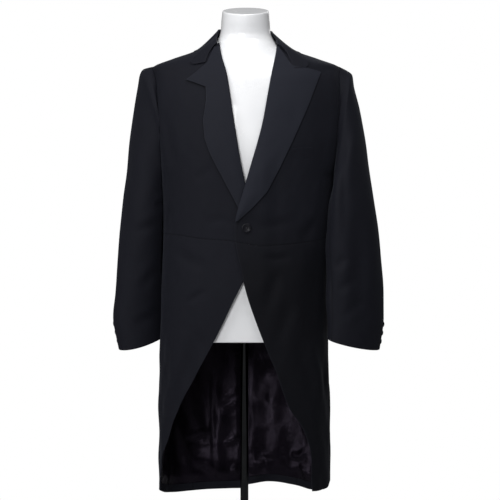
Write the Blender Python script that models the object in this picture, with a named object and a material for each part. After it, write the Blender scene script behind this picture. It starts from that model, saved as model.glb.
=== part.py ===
"""Morning coat on a limbless torso form that stands on a plain pole and base.

Metres, +Z up, origin on the floor under the pole, coat facing -Y.
Left and right are the wearer's, so the wearer's left is +X, on the right of a front view.
An angle round the body runs from 0 at the centre front through +90 at the wearer's left
side to 180 at the centre back, and is negative on the wearer's right.
"""

from bisect import bisect_right
from collections import namedtuple
from math import asin, atan2, copysign, cos, degrees, pi, radians, sin

import bmesh
import bpy
from mathutils import Vector
from mathutils.bvhtree import BVHTree

# Walls and gaps
CLOTH = 0.002
SATIN = 0.001
WELT_CLOTH = 0.0015
SEAM = 0.0003
LAPEL_OVER = 0.0022
LINING_UNDER = 0.0006
WELT_OVER = 0.0006
FORM_SEAT = 0.0014

# Main heights
FORM_BOTTOM = 0.797
CHEST_ROW = 1.160
NECKLINE = 1.468

# Sections of the coat's outer surface, hem to neckline.
# front and back are the distances of the surface from the pole's axis at the centre.
Section = namedtuple("Section", "z half_width front back side_y centre_x power")
BODY = [
    Section(0.440, 0.1940, 0.092, 0.142, 0.012, 0.0000, 2.50),
    Section(0.570, 0.1938, 0.102, 0.146, 0.012, 0.0005, 2.50),
    Section(0.663, 0.1932, 0.110, 0.147, 0.012, 0.0000, 2.50),
    Section(0.790, 0.1892, 0.119, 0.144, 0.010, 0.0000, 2.50),
    Section(0.900, 0.1880, 0.124, 0.137, 0.010, 0.0008, 2.45),
    Section(1.025, 0.1888, 0.123, 0.117, 0.010, 0.0050, 2.40),
    Section(1.120, 0.1925, 0.127, 0.116, 0.010, 0.0080, 2.40),
    Section(1.220, 0.2005, 0.130, 0.125, 0.011, 0.0080, 2.40),
    Section(1.310, 0.2085, 0.124, 0.131, 0.012, 0.0080, 2.30),
    Section(1.375, 0.2125, 0.111, 0.128, 0.014, 0.0080, 2.15),
    Section(1.414, 0.2125, 0.097, 0.120, 0.016, 0.0040, 2.00),
    Section(1.434, 0.1680, 0.086, 0.111, 0.018, 0.0020, 1.95),
    Section(1.449, 0.1240, 0.073, 0.101, 0.020, 0.0020, 1.95),
    Section(1.468, 0.0800, 0.052, 0.089, 0.022, 0.0030, 2.00),
]

# Neck of the form above the neckline, with its cap tilted forward.
Neck = namedtuple("Neck", "z half_width front back centre_x")
NECK = [
    Neck(1.475, 0.0670, 0.0440, 0.0800, 0.0030),
    Neck(1.486, 0.0590, 0.0435, 0.0765, 0.0030),
    Neck(1.501, 0.0550, 0.0465, 0.0740, 0.0028),
    Neck(1.522, 0.0545, 0.0520, 0.0700, 0.0025),
    Neck(1.543, 0.0525, 0.0560, 0.0620, 0.0030),
]
NECK_TILT = 0.0147

# Space between the coat's inner face and the form.
Space = namedtuple("Space", "z room")
FORM_ROOM = [
    Space(0.790, 0.012),
    Space(1.020, 0.010),
    Space(1.200, 0.009),
    Space(1.330, 0.006),
    Space(1.400, FORM_SEAT),
    Space(1.470, FORM_SEAT),
]

# Front edges: where each front ends, from the neck down the roll line and the cutaway.
Edge = namedtuple("Edge", "z x")
LEFT_EDGE = [
    Edge(0.440, 0.1540),
    Edge(0.490, 0.1500),
    Edge(0.535, 0.1499),
    Edge(0.562, 0.1460),
    Edge(0.592, 0.1370),
    Edge(0.618, 0.1236),
    Edge(0.645, 0.1036),
    Edge(0.688, 0.0858),
    Edge(0.721, 0.0746),
    Edge(0.771, 0.0540),
    Edge(0.800, 0.0421),
    Edge(0.932, -0.0017),
    Edge(0.956, -0.0059),
    Edge(0.987, -0.0138),
    Edge(1.024, -0.0204),
    Edge(1.051, -0.0217),
    Edge(1.063, -0.0204),
    Edge(1.150, 0.0027),
    Edge(1.290, 0.0414),
    Edge(1.344, 0.0511),
    Edge(1.401, 0.0616),
    Edge(1.433, 0.0684),
    Edge(1.459, 0.0726),
    Edge(1.470, 0.0735),
]
RIGHT_EDGE = [
    Edge(0.440, -0.1890),
    Edge(0.479, -0.1880),
    Edge(0.530, -0.1862),
    Edge(0.560, -0.1781),
    Edge(0.599, -0.1658),
    Edge(0.649, -0.1476),
    Edge(0.707, -0.1177),
    Edge(0.756, -0.0908),
    Edge(0.799, -0.0676),
    Edge(0.932, -0.0021),
    Edge(0.960, 0.0140),
    Edge(1.000, 0.0210),
    Edge(1.050, 0.0220),
    Edge(1.100, 0.0180),
    Edge(1.150, 0.0027),
    Edge(1.290, -0.0227),
    Edge(1.344, -0.0304),
    Edge(1.396, -0.0392),
    Edge(1.433, -0.0498),
    Edge(1.459, -0.0545),
    Edge(1.470, -0.0560),
]

# Outer edges of the lapels, button to gorge, with the peak.
LEFT_LAPEL = [
    Edge(1.066, -0.0140),
    Edge(1.097, 0.0193),
    Edge(1.130, 0.0495),
    Edge(1.181, 0.0767),
    Edge(1.237, 0.1034),
    Edge(1.282, 0.1234),
    Edge(1.324, 0.1413),
    Edge(1.360, 0.1548),
    Edge(1.398, 0.1694),
    Edge(1.402, 0.1580),
    Edge(1.4065, 0.1390),
    Edge(1.4095, 0.1160),
    Edge(1.411, 0.1070),
    Edge(1.420, 0.0990),
    Edge(1.455, 0.0765),
]
RIGHT_LAPEL = [
    Edge(1.096, -0.0135),
    Edge(1.130, -0.0310),
    Edge(1.181, -0.0580),
    Edge(1.214, -0.0745),
    Edge(1.248, -0.0868),
    Edge(1.290, -0.0902),
    Edge(1.334, -0.0836),
    Edge(1.363, -0.0848),
    Edge(1.368, -0.0971),
    Edge(1.374, -0.1127),
    Edge(1.380, -0.1285),
    Edge(1.396, -0.1070),
    Edge(1.409, -0.0929),
    Edge(1.418, -0.0820),
    Edge(1.455, -0.0665),
]
LAPEL_UNDER_LEFT_FRONT = 0.005
LAPEL_SHARES = [0.0, 0.10, 0.30, 0.53, 0.77, 1.0]

# Seams between the panels, as angles round the body by height.
Seam = namedtuple("Seam", "z angle")
SIDE_SEAM = [Seam(1.00, 80), Seam(1.16, 86), Seam(1.22, 88), Seam(1.39, 98), Seam(1.47, 98)]
BACK_SEAM = [
    Seam(0.44, 146),
    Seam(0.62, 147),
    Seam(0.80, 150),
    Seam(0.95, 155),
    Seam(1.03, 157),
    Seam(1.10, 150),
    Seam(1.16, 140),
    Seam(1.21, 130),
    Seam(1.25, 119),
    Seam(1.31, 110),
    Seam(1.39, 98),
    Seam(1.47, 98),
]

# Heights of the hem and the waist seam, by angle round the body.
Level = namedtuple("Level", "angle z")
HEM = [
    Level(-180, 0.4490),
    Level(-165, 0.4480),
    Level(-130, 0.4444),
    Level(-112, 0.4470),
    Level(-90, 0.4607),
    Level(-60, 0.4660),
    Level(50, 0.4640),
    Level(70, 0.4680),
    Level(90, 0.4790),
    Level(112, 0.4540),
    Level(130, 0.4500),
    Level(150, 0.4590),
    Level(168, 0.4650),
    Level(180, 0.4570),
]
WAIST = [
    Level(-160, 1.0410),
    Level(-90, 1.0400),
    Level(-63, 1.0377),
    Level(-45, 1.0337),
    Level(-27, 1.0271),
    Level(-8, 1.0225),
    Level(0, 1.0160),
    Level(6, 1.0110),
    Level(22, 1.0139),
    Level(43, 1.0205),
    Level(90, 1.0340),
    Level(160, 1.0380),
]

# The left front laps over the right one, and is lifted by this much at its edge.
Lift = namedtuple("Lift", "z rise")
LEFT_LIFT = [
    Lift(0.860, 0.0000),
    Lift(0.930, 0.0046),
    Lift(1.060, 0.0046),
    Lift(1.090, 0.0075),
    Lift(1.160, 0.0070),
    Lift(1.230, 0.0000),
]
LIFT_FULL_X = 0.036
LIFT_END_X = 0.075

# Rows of the panels: shares of the way from hem to waist and waist to chest, then heights.
TAIL_SHARES = [0.0, 0.09, 0.18, 0.27, 0.36, 0.46, 0.56, 0.66, 0.76, 0.88, 1.0]
WAIST_SHARES = [0.0, 0.25, 0.5, 0.75, 1.0]
CHEST_HEIGHTS = [1.195, 1.23, 1.265, 1.30, 1.335, 1.365, 1.39, 1.405, 1.414]
SHOULDER_HEIGHTS = [1.424, 1.434, 1.443, 1.452, 1.460, NECKLINE]
SIDE_TOP_ROWS = 3
FORM_HEIGHTS = [0.83, 0.87, 0.92, 0.97, 1.02, 1.07, 1.12, 1.16]
FORM_SIDES = 44
FRONT_COLUMNS = 11
SIDE_COLUMNS = 4
BACK_COLUMNS = 7
VENT_HALF_WIDTH = 0.006
VENT_TOP = 0.573
LINING_ROWS = 8
LINING_FROM_EDGE, LINING_FROM_HEM, LINING_FROM_VENT = 0.35, 0.45, 0.35

# Armholes, seen from the side, and the sleeves from sleeve head to cuff.
# outer and inner are the sleeve's edges in a front view; half_depth is front to back.
Armhole = namedtuple("Armhole", "top bottom front_y back_y")
ARMHOLES = {1: Armhole(1.412, 1.165, -0.035, 0.088), -1: Armhole(1.412, 1.165, -0.055, 0.085)}
Cuffward = namedtuple(
    "Cuffward", "outer_x outer_y outer_z inner_x inner_y inner_z half_depth front_drop"
)
SLEEVES = {
    1: [
        Cuffward(0.2325, 0.018, 1.4090, 0.2080, 0.016, 1.158, 0.068, 0.000),
        Cuffward(0.2445, 0.014, 1.3985, 0.2075, 0.010, 1.148, 0.072, 0.000),
        Cuffward(0.2490, 0.010, 1.3700, 0.2070, 0.000, 1.138, 0.074, 0.000),
        Cuffward(0.2613, 0.004, 1.3188, 0.2020, -0.012, 1.122, 0.075, 0.000),
        Cuffward(0.2703, -0.004, 1.2668, 0.1975, -0.030, 1.105, 0.074, 0.000),
        Cuffward(0.2805, -0.010, 1.1945, 0.1950, -0.042, 1.080, 0.071, 0.000),
        Cuffward(0.2910, -0.014, 1.1250, 0.1930, -0.050, 1.048, 0.067, 0.000),
        Cuffward(0.3020, -0.018, 1.0500, 0.1895, -0.057, 1.004, 0.061, 0.000),
        Cuffward(0.3090, -0.021, 0.9700, 0.1880, -0.062, 0.946, 0.054, 0.001),
        Cuffward(0.3130, -0.022, 0.9030, 0.1875, -0.065, 0.896, 0.048, 0.002),
        Cuffward(0.3141, -0.022, 0.8487, 0.1888, -0.066, 0.856, 0.044, 0.004),
        Cuffward(0.3050, -0.022, 0.7790, 0.1860, -0.066, 0.8054, 0.041, 0.006),
    ],
    -1: [
        Cuffward(0.2295, 0.018, 1.4120, 0.1930, 0.026, 1.158, 0.070, 0.000),
        Cuffward(0.2370, 0.018, 1.4000, 0.1905, 0.036, 1.150, 0.074, 0.000),
        Cuffward(0.2420, 0.020, 1.3700, 0.1880, 0.048, 1.140, 0.075, 0.000),
        Cuffward(0.2513, 0.022, 1.3130, 0.1860, 0.054, 1.123, 0.075, 0.000),
        Cuffward(0.2588, 0.022, 1.2610, 0.1850, 0.058, 1.105, 0.073, 0.000),
        Cuffward(0.2660, 0.020, 1.1855, 0.1845, 0.060, 1.080, 0.070, 0.000),
        Cuffward(0.2743, 0.016, 1.1230, 0.1838, 0.062, 1.048, 0.066, 0.000),
        Cuffward(0.2818, 0.012, 1.0500, 0.1825, 0.066, 1.010, 0.060, 0.000),
        Cuffward(0.2886, 0.008, 0.9700, 0.1810, 0.072, 0.952, 0.053, 0.001),
        Cuffward(0.2925, 0.004, 0.9030, 0.1805, 0.076, 0.905, 0.047, 0.002),
        Cuffward(0.2975, 0.002, 0.8487, 0.1805, 0.077, 0.865, 0.043, 0.005),
        Cuffward(0.2840, 0.000, 0.7775, 0.1810, 0.076, 0.8186, 0.038, 0.008),
    ],
}
SLEEVE_SIDES = 20
SLEEVE_CLEAR = 0.0018
HIND_SEAM_SIDE = 18
FRONT_SEAM_SIDE = 8

# Collar: its fold and leaf edge at stations from the left gorge round the back to the right.
# The leaf edge is given on the coat's surface as an angle and a height.
Station = namedtuple("Station", "fold_x fold_y fold_z leaf_angle leaf_z")
COLLAR = [
    Station(0.0755, -0.0365, 1.4690, 30, 1.4145),
    Station(0.0735, -0.0230, 1.4770, 39, 1.4115),
    Station(0.0690, -0.0020, 1.4890, 58, 1.4400),
    Station(0.0632, 0.0200, 1.4990, 88, 1.4500),
    Station(0.0545, 0.0500, 1.5030, 118, 1.4500),
    Station(0.0330, 0.0780, 1.5050, 148, 1.4480),
    Station(0.0030, 0.0885, 1.5055, 180, 1.4470),
    Station(-0.0280, 0.0780, 1.5055, 212, 1.4480),
    Station(-0.0500, 0.0500, 1.5055, 242, 1.4500),
    Station(-0.0590, 0.0200, 1.5035, 272, 1.4500),
    Station(-0.0640, -0.0020, 1.4900, 303, 1.4430),
    Station(-0.0650, -0.0230, 1.4785, 326, 1.4165),
    Station(-0.0630, -0.0380, 1.4710, 334, 1.4205),
]
COLLAR_STEPS = 2
COLLAR_WALL = 0.0016
COLLAR_OVER = 0.0046
COLLAR_CONTROL_OVER = 0.0090

# Welt, buttons and stand
WELT_START_X, WELT_END_X = 0.105, 0.152
WELT_TOP, WELT_DEPTH, WELT_SLANT = 1.2285, 0.022, 0.004
FRONT_BUTTON_X, FRONT_BUTTON_Z, FRONT_BUTTON_RADIUS = 0.0049, 1.0509, 0.0105
CUFF_BUTTON_RADIUS = 0.0075
CUFF_BUTTON_SHARES = [0.22, 0.50, 0.78]
WAIST_BUTTON_RADIUS, WAIST_BUTTON_Z = 0.0100, 1.030
POLE_RADIUS = 0.009
POLE_IN_FORM = 0.090
BASE_RADIUS, BASE_RIM, BASE_CENTRE = 0.175, 0.006, 0.018
HUB_RADIUS, HUB_TOP, BORE_FLOOR = 0.022, 0.045, 0.008
BASE_SIDES = 40
BORE_SIDES = 20

MATERIALS = {
    "worsted": ((0.012, 0.013, 0.018), 0.75, 0.0),
    "satin": ((0.008, 0.006, 0.012), 0.30, 0.0),
    "form": ((0.85, 0.86, 0.88), 0.25, 0.0),
    "steel": ((0.62, 0.63, 0.65), 0.15, 1.0),
    "button": ((0.010, 0.010, 0.014), 0.30, 0.0),
}


def smooth_value(knots, values, at):
    """The value at `at` on a curve through the knots that never overshoots them."""
    if at <= knots[0]:
        return values[0]
    if at >= knots[-1]:
        return values[-1]
    spans = [b - a for a, b in zip(knots, knots[1:])]
    rises = [(b - a) / s for a, b, s in zip(values, values[1:], spans)]
    index = bisect_right(knots, at) - 1

    def slope(k):
        if k == 0 or k == len(knots) - 1:
            return rises[min(k, len(rises) - 1)]
        before, after = rises[k - 1], rises[k]
        if before * after <= 0:
            return 0.0
        near, far = spans[k] + 2 * spans[k - 1], 2 * spans[k] + spans[k - 1]
        return (near + far) / (far / before + near / after)

    span = spans[index]
    t = (at - knots[index]) / span
    return (
        values[index] * (1 + 2 * t) * (1 - t) ** 2
        + slope(index) * span * t * (1 - t) ** 2
        + values[index + 1] * t * t * (3 - 2 * t)
        + slope(index + 1) * span * t * t * (t - 1)
    )


def reading(rows, at):
    """A row of a table at `at`, its first column, with the other columns smoothed between rows."""
    knots = [row[0] for row in rows]
    columns = list(zip(*rows))[1:]
    return type(rows[0])(at, *(smooth_value(knots, column, at) for column in columns))


def straight_reading(rows, at):
    """The second column at `at`, on straight lines between rows, so corners stay sharp."""
    for low, high in zip(rows, rows[1:]):
        if at <= high[0]:
            share = max(0.0, (at - low[0]) / (high[0] - low[0]))
            return low[1] + (high[1] - low[1]) * share
    return rows[-1][1]


def eased(share):
    """0 to 1 with a soft start and end."""
    share = min(1.0, max(0.0, share))
    return share * share * (3 - 2 * share)


def signed_power(value, power):
    return copysign(abs(value) ** power, value)


def body_place(angle, z):
    """The point of the coat's outer surface at an angle and a height."""
    row = reading(BODY, z)
    turn = radians(angle)
    x = row.centre_x + row.half_width * signed_power(sin(turn), 2 / row.power)
    ahead = signed_power(cos(turn), 2 / row.power)
    reach = row.front + row.side_y if ahead > 0 else row.back - row.side_y
    return Vector((x, row.side_y - reach * ahead, z))


def body_normal(angle, z):
    """The outward direction of the coat's surface."""
    step = 1.5
    round_it = body_place(angle + step, z) - body_place(angle - step, z)
    low, high = max(z - 0.004, 0.44), min(z + 0.004, NECKLINE)
    up_it = body_place(angle, high) - body_place(angle, low)
    return round_it.cross(up_it).normalized()


def angle_of(x, z):
    """The angle of the point on the front of the surface with this x and height."""
    row = reading(BODY, z)
    share = max(-1.0, min(1.0, (x - row.centre_x) / row.half_width))
    return degrees(asin(signed_power(share, row.power / 2)))


def left_lift(x, z):
    """How far the left front stands off the surface where it laps over the right."""
    across = eased((LIFT_END_X - x) / (LIFT_END_X - LIFT_FULL_X))
    return reading(LEFT_LIFT, z).rise * across


def grid_point(angle, z, out):
    """A point moved out from the surface, with the surface's outward direction."""
    normal = body_normal(angle, z)
    return body_place(angle, z) + normal * out, normal


def new_object(name, mesh_builder, material):
    """An object from a bmesh, smooth with sharp rims, in its material."""
    mesh = bpy.data.meshes.new(name)
    bmesh.ops.recalc_face_normals(mesh_builder, faces=mesh_builder.faces)
    mesh_builder.to_mesh(mesh)
    mesh_builder.free()
    mesh.shade_smooth()
    mesh.set_sharp_from_angle(angle=radians(40))
    mesh.materials.append(bpy.data.materials[material])
    obj = bpy.data.objects.new(name, mesh)
    bpy.context.scene.collection.objects.link(obj)
    return obj


def rim(rows):
    """The vertices round the edge of a sheet, in order."""
    right = [row[-1] for row in rows[1:-1]]
    left = [row[0] for row in rows[1:-1]]
    return rows[0] + right + rows[-1][::-1] + left[::-1]


def parted(points):
    """The rows with their outline drawn in by half a seam."""
    drawn = [list(row) for row in points]
    half = SEAM / 2
    for row, source in zip(drawn, points):
        row[0] = source[0] + (source[1] - source[0]).normalized() * half
        row[-1] = source[-1] + (source[-2] - source[-1]).normalized() * half
    for index, inner in ((0, 1), (-1, -2)):
        drawn[index] = [
            p + (q - p).normalized() * half for p, q in zip(drawn[index], points[inner])
        ]
    return drawn


def halved(quad, points):
    """Two triangles across the shorter diagonal, so that neighbours fold the same way."""
    if (points[1] - points[3]).length < (points[0] - points[2]).length:
        quad = quad[1:] + quad[:1]
    return quad[:3], (quad[0], quad[2], quad[3])


def wall(name, places, thickness, material):
    """A closed wall of cloth from rows of (outer point, outward direction)."""
    outer = parted([[point for point, _ in row] for row in places])
    inner = [
        [point - normal * thickness for point, (_, normal) in zip(row, source)]
        for row, source in zip(outer, places)
    ]
    builder = bmesh.new()
    front = [[builder.verts.new(p) for p in row] for row in outer]
    behind = [[builder.verts.new(p) for p in row] for row in inner]
    for r in range(len(front) - 1):
        for c in range(len(front[0]) - 1):
            quad = ((r, c), (r, c + 1), (r + 1, c + 1), (r + 1, c))
            for triangle in halved(quad, [front[i][j].co for i, j in quad]):
                builder.faces.new([front[i][j] for i, j in triangle])
                builder.faces.new([behind[i][j] for i, j in reversed(triangle)])
    edge, edge_behind = rim(front), rim(behind)
    for k, vertex in enumerate(edge):
        quad = (edge[k - 1], edge_behind[k - 1], edge_behind[k], vertex)
        for triangle in halved(quad, [corner.co for corner in quad]):
            builder.faces.new(triangle)
    return new_object(name, builder, material)


def shares(count):
    return [step / count for step in range(count + 1)]


def tail_z(share, angle):
    """Height of a row between the hem and the waist seam."""
    low, high = reading(HEM, angle).z, reading(WAIST, angle).z
    return low + (high - low) * share


def waist_z(share, angle):
    """Height of a row between the waist seam and the chest."""
    low = reading(WAIST, angle).z
    return low + (CHEST_ROW - low) * share


def bodice_rows():
    """Row heights from the waist up, each a function of the angle."""
    rows = [lambda angle, s=share: waist_z(s, angle) for share in WAIST_SHARES]
    rows += [lambda angle, z=height: z for height in CHEST_HEIGHTS + SHOULDER_HEIGHTS]
    return rows


def tail_rows():
    """Row heights from the hem to the waist, each a function of the angle."""
    return [lambda angle, s=share: tail_z(s, angle) for share in TAIL_SHARES]


def settled(row, angle_at, start):
    """The angle on a row at an edge whose angle depends on the height there."""
    angle = start
    for _ in range(6):
        angle = angle_at(row(angle))
    return angle


def front_edge_angle(side):
    """The front edge's angle by height."""
    edge = LEFT_EDGE if side > 0 else RIGHT_EDGE
    return lambda z: angle_of(reading(edge, z).x, z)


def side_seam_angle(side):
    return lambda z: side * reading(SIDE_SEAM, z).angle


def back_seam_angle(side):
    return lambda z: side * reading(BACK_SEAM, z).angle


def back_centre_angle(side):
    """Centre back, parted below the vent's top."""

    def angle(z):
        open_share = eased((VENT_TOP - z) / (VENT_TOP - 0.46))
        row = reading(BODY, z)
        share = VENT_HALF_WIDTH * open_share / row.half_width
        return side * (180 - degrees(asin(share ** (row.power / 2))))

    return angle


def panel_places(rows, start_at, end_at, columns, first_guess, out=lambda point: 0.0):
    """Rows of outer points between two edges that are given as angles by height."""
    places = []
    for row in rows:
        start = settled(row, start_at, first_guess[0])
        end = settled(row, end_at, first_guess[1])
        line = []
        for share in shares(columns):
            angle = start + (end - start) * share
            z = row(angle)
            point, normal = grid_point(angle, z, 0.0)
            line.append((point + normal * out(point), normal))
        places.append(line)
    return places


def skirt_places(side, rows, edge, side_seam, back_seam, out):
    """Rows of the skirt, whose columns meet those of the forepart and side body at the waist."""
    places = []
    for share, row in zip(TAIL_SHARES, rows):
        start = settled(row, edge, 40 * side)
        end = settled(row, back_seam, 150 * side)
        at_waist = settled(row, side_seam, 80 * side)
        at_hem = start + (end - start) * FRONT_COLUMNS / (FRONT_COLUMNS + SIDE_COLUMNS)
        middle = at_hem + (at_waist - at_hem) * share
        angles = [start + (middle - start) * k for k in shares(FRONT_COLUMNS)]
        angles += [middle + (end - middle) * k for k in shares(SIDE_COLUMNS)[1:]]
        line = []
        for angle in angles:
            point, normal = grid_point(angle, row(angle), 0.0)
            line.append((point + normal * out(point), normal))
        places.append(line)
    return places


def lifted_if_left(side):
    return (lambda point: left_lift(point.x, point.z)) if side > 0 else (lambda point: 0.0)


def armhole_ring(side, grow):
    """The armhole's outline in a side view, as (y, z), a corner for each side of the sleeve."""
    hole = ARMHOLES[side]
    centre_y, half_y = (hole.front_y + hole.back_y) / 2, (hole.back_y - hole.front_y) / 2
    centre_z, half_z = (hole.top + hole.bottom) / 2, (hole.top - hole.bottom) / 2
    ring = []
    for index in range(SLEEVE_SIDES):
        turn = 2 * pi * index / SLEEVE_SIDES
        ring.append(
            (centre_y - (half_y + grow) * sin(turn), centre_z + (half_z + grow) * cos(turn))
        )
    return ring


def surface_x(side, y, z):
    """How far out to the side the coat's surface lies at this depth and height."""
    row = reading(BODY, z)
    reach = row.front + row.side_y if y < row.side_y else row.back - row.side_y
    share = min(1.0, abs(y - row.side_y) / reach)
    return row.centre_x + side * row.half_width * (1 - share**row.power) ** (1 / row.power)


def armhole_cutter(side):
    """A prism through the side of the body, as wide as the sleeve and a seam."""
    builder = bmesh.new()
    near = [builder.verts.new((side * 0.15, y, z)) for y, z in armhole_ring(side, SEAM)]
    base = builder.faces.new(near)
    grown = bmesh.ops.extrude_face_region(builder, geom=[base])["geom"]
    moved = [item for item in grown if isinstance(item, bmesh.types.BMVert)]
    bmesh.ops.translate(builder, verts=moved, vec=(side * 0.12, 0, 0))
    return as_cutter(new_object(f"armhole_cutter_{side_name(side)}", builder, "worsted"))


def as_cutter(obj):
    obj.hide_render = True
    obj.display_type = "WIRE"
    return obj


def cut_by(obj, cutter):
    modifier = obj.modifiers.new(cutter.name, "BOOLEAN")
    modifier.operation = "DIFFERENCE"
    modifier.solver = "EXACT"
    modifier.object = cutter


def side_name(side):
    return "left" if side > 0 else "right"


def build_body(side):
    """Forepart, side body, back and skirt of one side."""
    name = side_name(side)
    bodice, tail = bodice_rows(), tail_rows()
    lift = lifted_if_left(side)
    edge, side_seam = front_edge_angle(side), side_seam_angle(side)
    back_seam, centre = back_seam_angle(side), back_centre_angle(side)
    cutter = armhole_cutter(side)

    forepart = panel_places(bodice, edge, side_seam, FRONT_COLUMNS, (5 * side, 86 * side), lift)
    cut_by(wall(f"forepart_{name}", forepart, CLOTH, "worsted"), cutter)

    side_rows = bodice[: len(WAIST_SHARES) + SIDE_TOP_ROWS]
    sidebody = panel_places(side_rows, side_seam, back_seam, SIDE_COLUMNS, (86 * side, 140 * side))
    cut_by(wall(f"sidebody_{name}", sidebody, CLOTH, "worsted"), cutter)

    back_rows = tail[:-1] + bodice
    back = panel_places(back_rows, back_seam, centre, BACK_COLUMNS, (150 * side, 180 * side))
    cut_by(wall(f"back_{name}", back, CLOTH, "worsted"), cutter)

    skirt = skirt_places(side, tail, edge, side_seam, back_seam, lift)
    wall(f"skirt_{name}", skirt, CLOTH, "worsted")
    build_tail_lining(name, skirt, back)


def between(first, second, share):
    """A place part of the way between two places of a panel."""
    point = first[0].lerp(second[0], share)
    return point, first[1].lerp(second[1], share).normalized()


def build_tail_lining(name, skirt, back):
    """Satin inside the skirt and the tail, made from their points moved in."""
    rows = []
    for skirt_row, back_row in zip(skirt[:LINING_ROWS], back[:LINING_ROWS]):
        seam = between(skirt_row[-1], back_row[0], 0.5)
        first = between(skirt_row[0], skirt_row[1], LINING_FROM_EDGE)
        last = between(back_row[-1], back_row[-2], LINING_FROM_VENT)
        rows.append([first] + skirt_row[1:-1] + [seam] + back_row[1:-1] + [last])
    rows[0] = [between(low, high, LINING_FROM_HEM) for low, high in zip(rows[0], rows[1])]
    under = CLOTH + LINING_UNDER
    moved = [[(point - normal * under, normal) for point, normal in row] for row in rows]
    wall(f"tail_lining_{name}", moved, SATIN, "satin")


def sleeve_rings(side):
    """Rings of outer points from inside the armhole to the cuff, pressed flat by the body."""
    hole = armhole_ring(side, 0.0)
    rings = []
    for out in (-0.0012, 0.0034):
        rings.append([Vector((surface_x(side, y, z) + side * out, y, z)) for y, z in hole])
    for row in SLEEVES[side]:
        outer = Vector((side * row.outer_x, row.outer_y, row.outer_z))
        inner = Vector((side * row.inner_x, row.inner_y, row.inner_z))
        middle, across = (outer + inner) / 2, (outer - inner) / 2
        ahead = Vector((0, -row.half_depth, -row.front_drop))
        ring = []
        for index in range(SLEEVE_SIDES):
            turn = 2 * pi * index / SLEEVE_SIDES
            point = middle + across * cos(turn) + ahead * sin(turn)
            least = side * surface_x(side, point.y, point.z) + SLEEVE_CLEAR
            point.x = side * max(side * point.x, least)
            ring.append(point)
        rings.append(ring)
    return rings


def tube_normals(rings, side):
    """Outward directions at the points of a stack of rings."""
    normals = []
    for k, ring in enumerate(rings):
        above, below = rings[max(k - 1, 0)], rings[min(k + 1, len(rings) - 1)]
        line = []
        for i in range(len(ring)):
            round_it = ring[(i + 1) % len(ring)] - ring[i - 1]
            line.append(round_it.cross(below[i] - above[i]).normalized() * side)
        normals.append(line)
    return normals


def build_sleeve(side):
    """Top sleeve and under sleeve, parted at the hind and front seams."""
    rings = sleeve_rings(side)
    normals = tube_normals(rings, side)
    normals[0] = [Vector((0, n.y, n.z)).normalized() for n in normals[1]]
    normals[1] = normals[0]
    parts = {
        "topsleeve": list(range(HIND_SEAM_SIDE - SLEEVE_SIDES, FRONT_SEAM_SIDE + 1)),
        "undersleeve": list(range(FRONT_SEAM_SIDE, HIND_SEAM_SIDE + 1)),
    }
    for part, strip in parts.items():
        places = [
            [(ring[i % SLEEVE_SIDES], line[i % SLEEVE_SIDES]) for i in strip]
            for ring, line in zip(rings, normals)
        ]
        wall(f"{part}_{side_name(side)}", places, CLOTH, "worsted")
    return rings, normals


def front_place(x, z, out):
    """A point in front of the coat's surface at an x and a height."""
    return grid_point(angle_of(x, z), z, out)


def lapel_rows(outline):
    """Heights of a lapel's rows: its corners and the rows of the forepart under it."""
    corners = [row.z for row in outline]
    low, high = corners[0], corners[-1]
    under = [CHEST_ROW] + CHEST_HEIGHTS + SHOULDER_HEIGHTS
    under = [z for z in under if low < z < high and min(abs(z - c) for c in corners) > 0.004]
    return sorted(corners + under)


def lapel_wall(name, outline, roll_at, lift):
    """A lapel turned back from the roll line, which stands off most where it turns."""
    places = []
    for z in lapel_rows(outline):
        roll, edge = roll_at(z), straight_reading(outline, z)
        line = []
        for share in LAPEL_SHARES:
            x = roll + (edge - roll) * share
            stand_off = SEAM * 2 + (LAPEL_OVER - SEAM * 2) * eased(share / LAPEL_SHARES[1])
            line.append(front_place(x, z, lift(x, z) + stand_off + CLOTH))
        places.append(line)
    wall(name, places, CLOTH, "worsted")


def build_lapels():
    """Lapels turned back over the fronts from the roll line."""

    def left_roll(z):
        return reading(LEFT_EDGE, z).x + 0.0004

    def right_roll(z):
        hidden = reading(LEFT_EDGE, z).x + LAPEL_UNDER_LEFT_FRONT
        roll = reading(RIGHT_EDGE, z).x - 0.0004
        return min(roll, hidden) if z < 1.15 else roll

    lapel_wall("lapel_left", LEFT_LAPEL, left_roll, left_lift)
    lapel_wall("lapel_right", RIGHT_LAPEL, right_roll, lambda x, z: 0.0)


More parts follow.
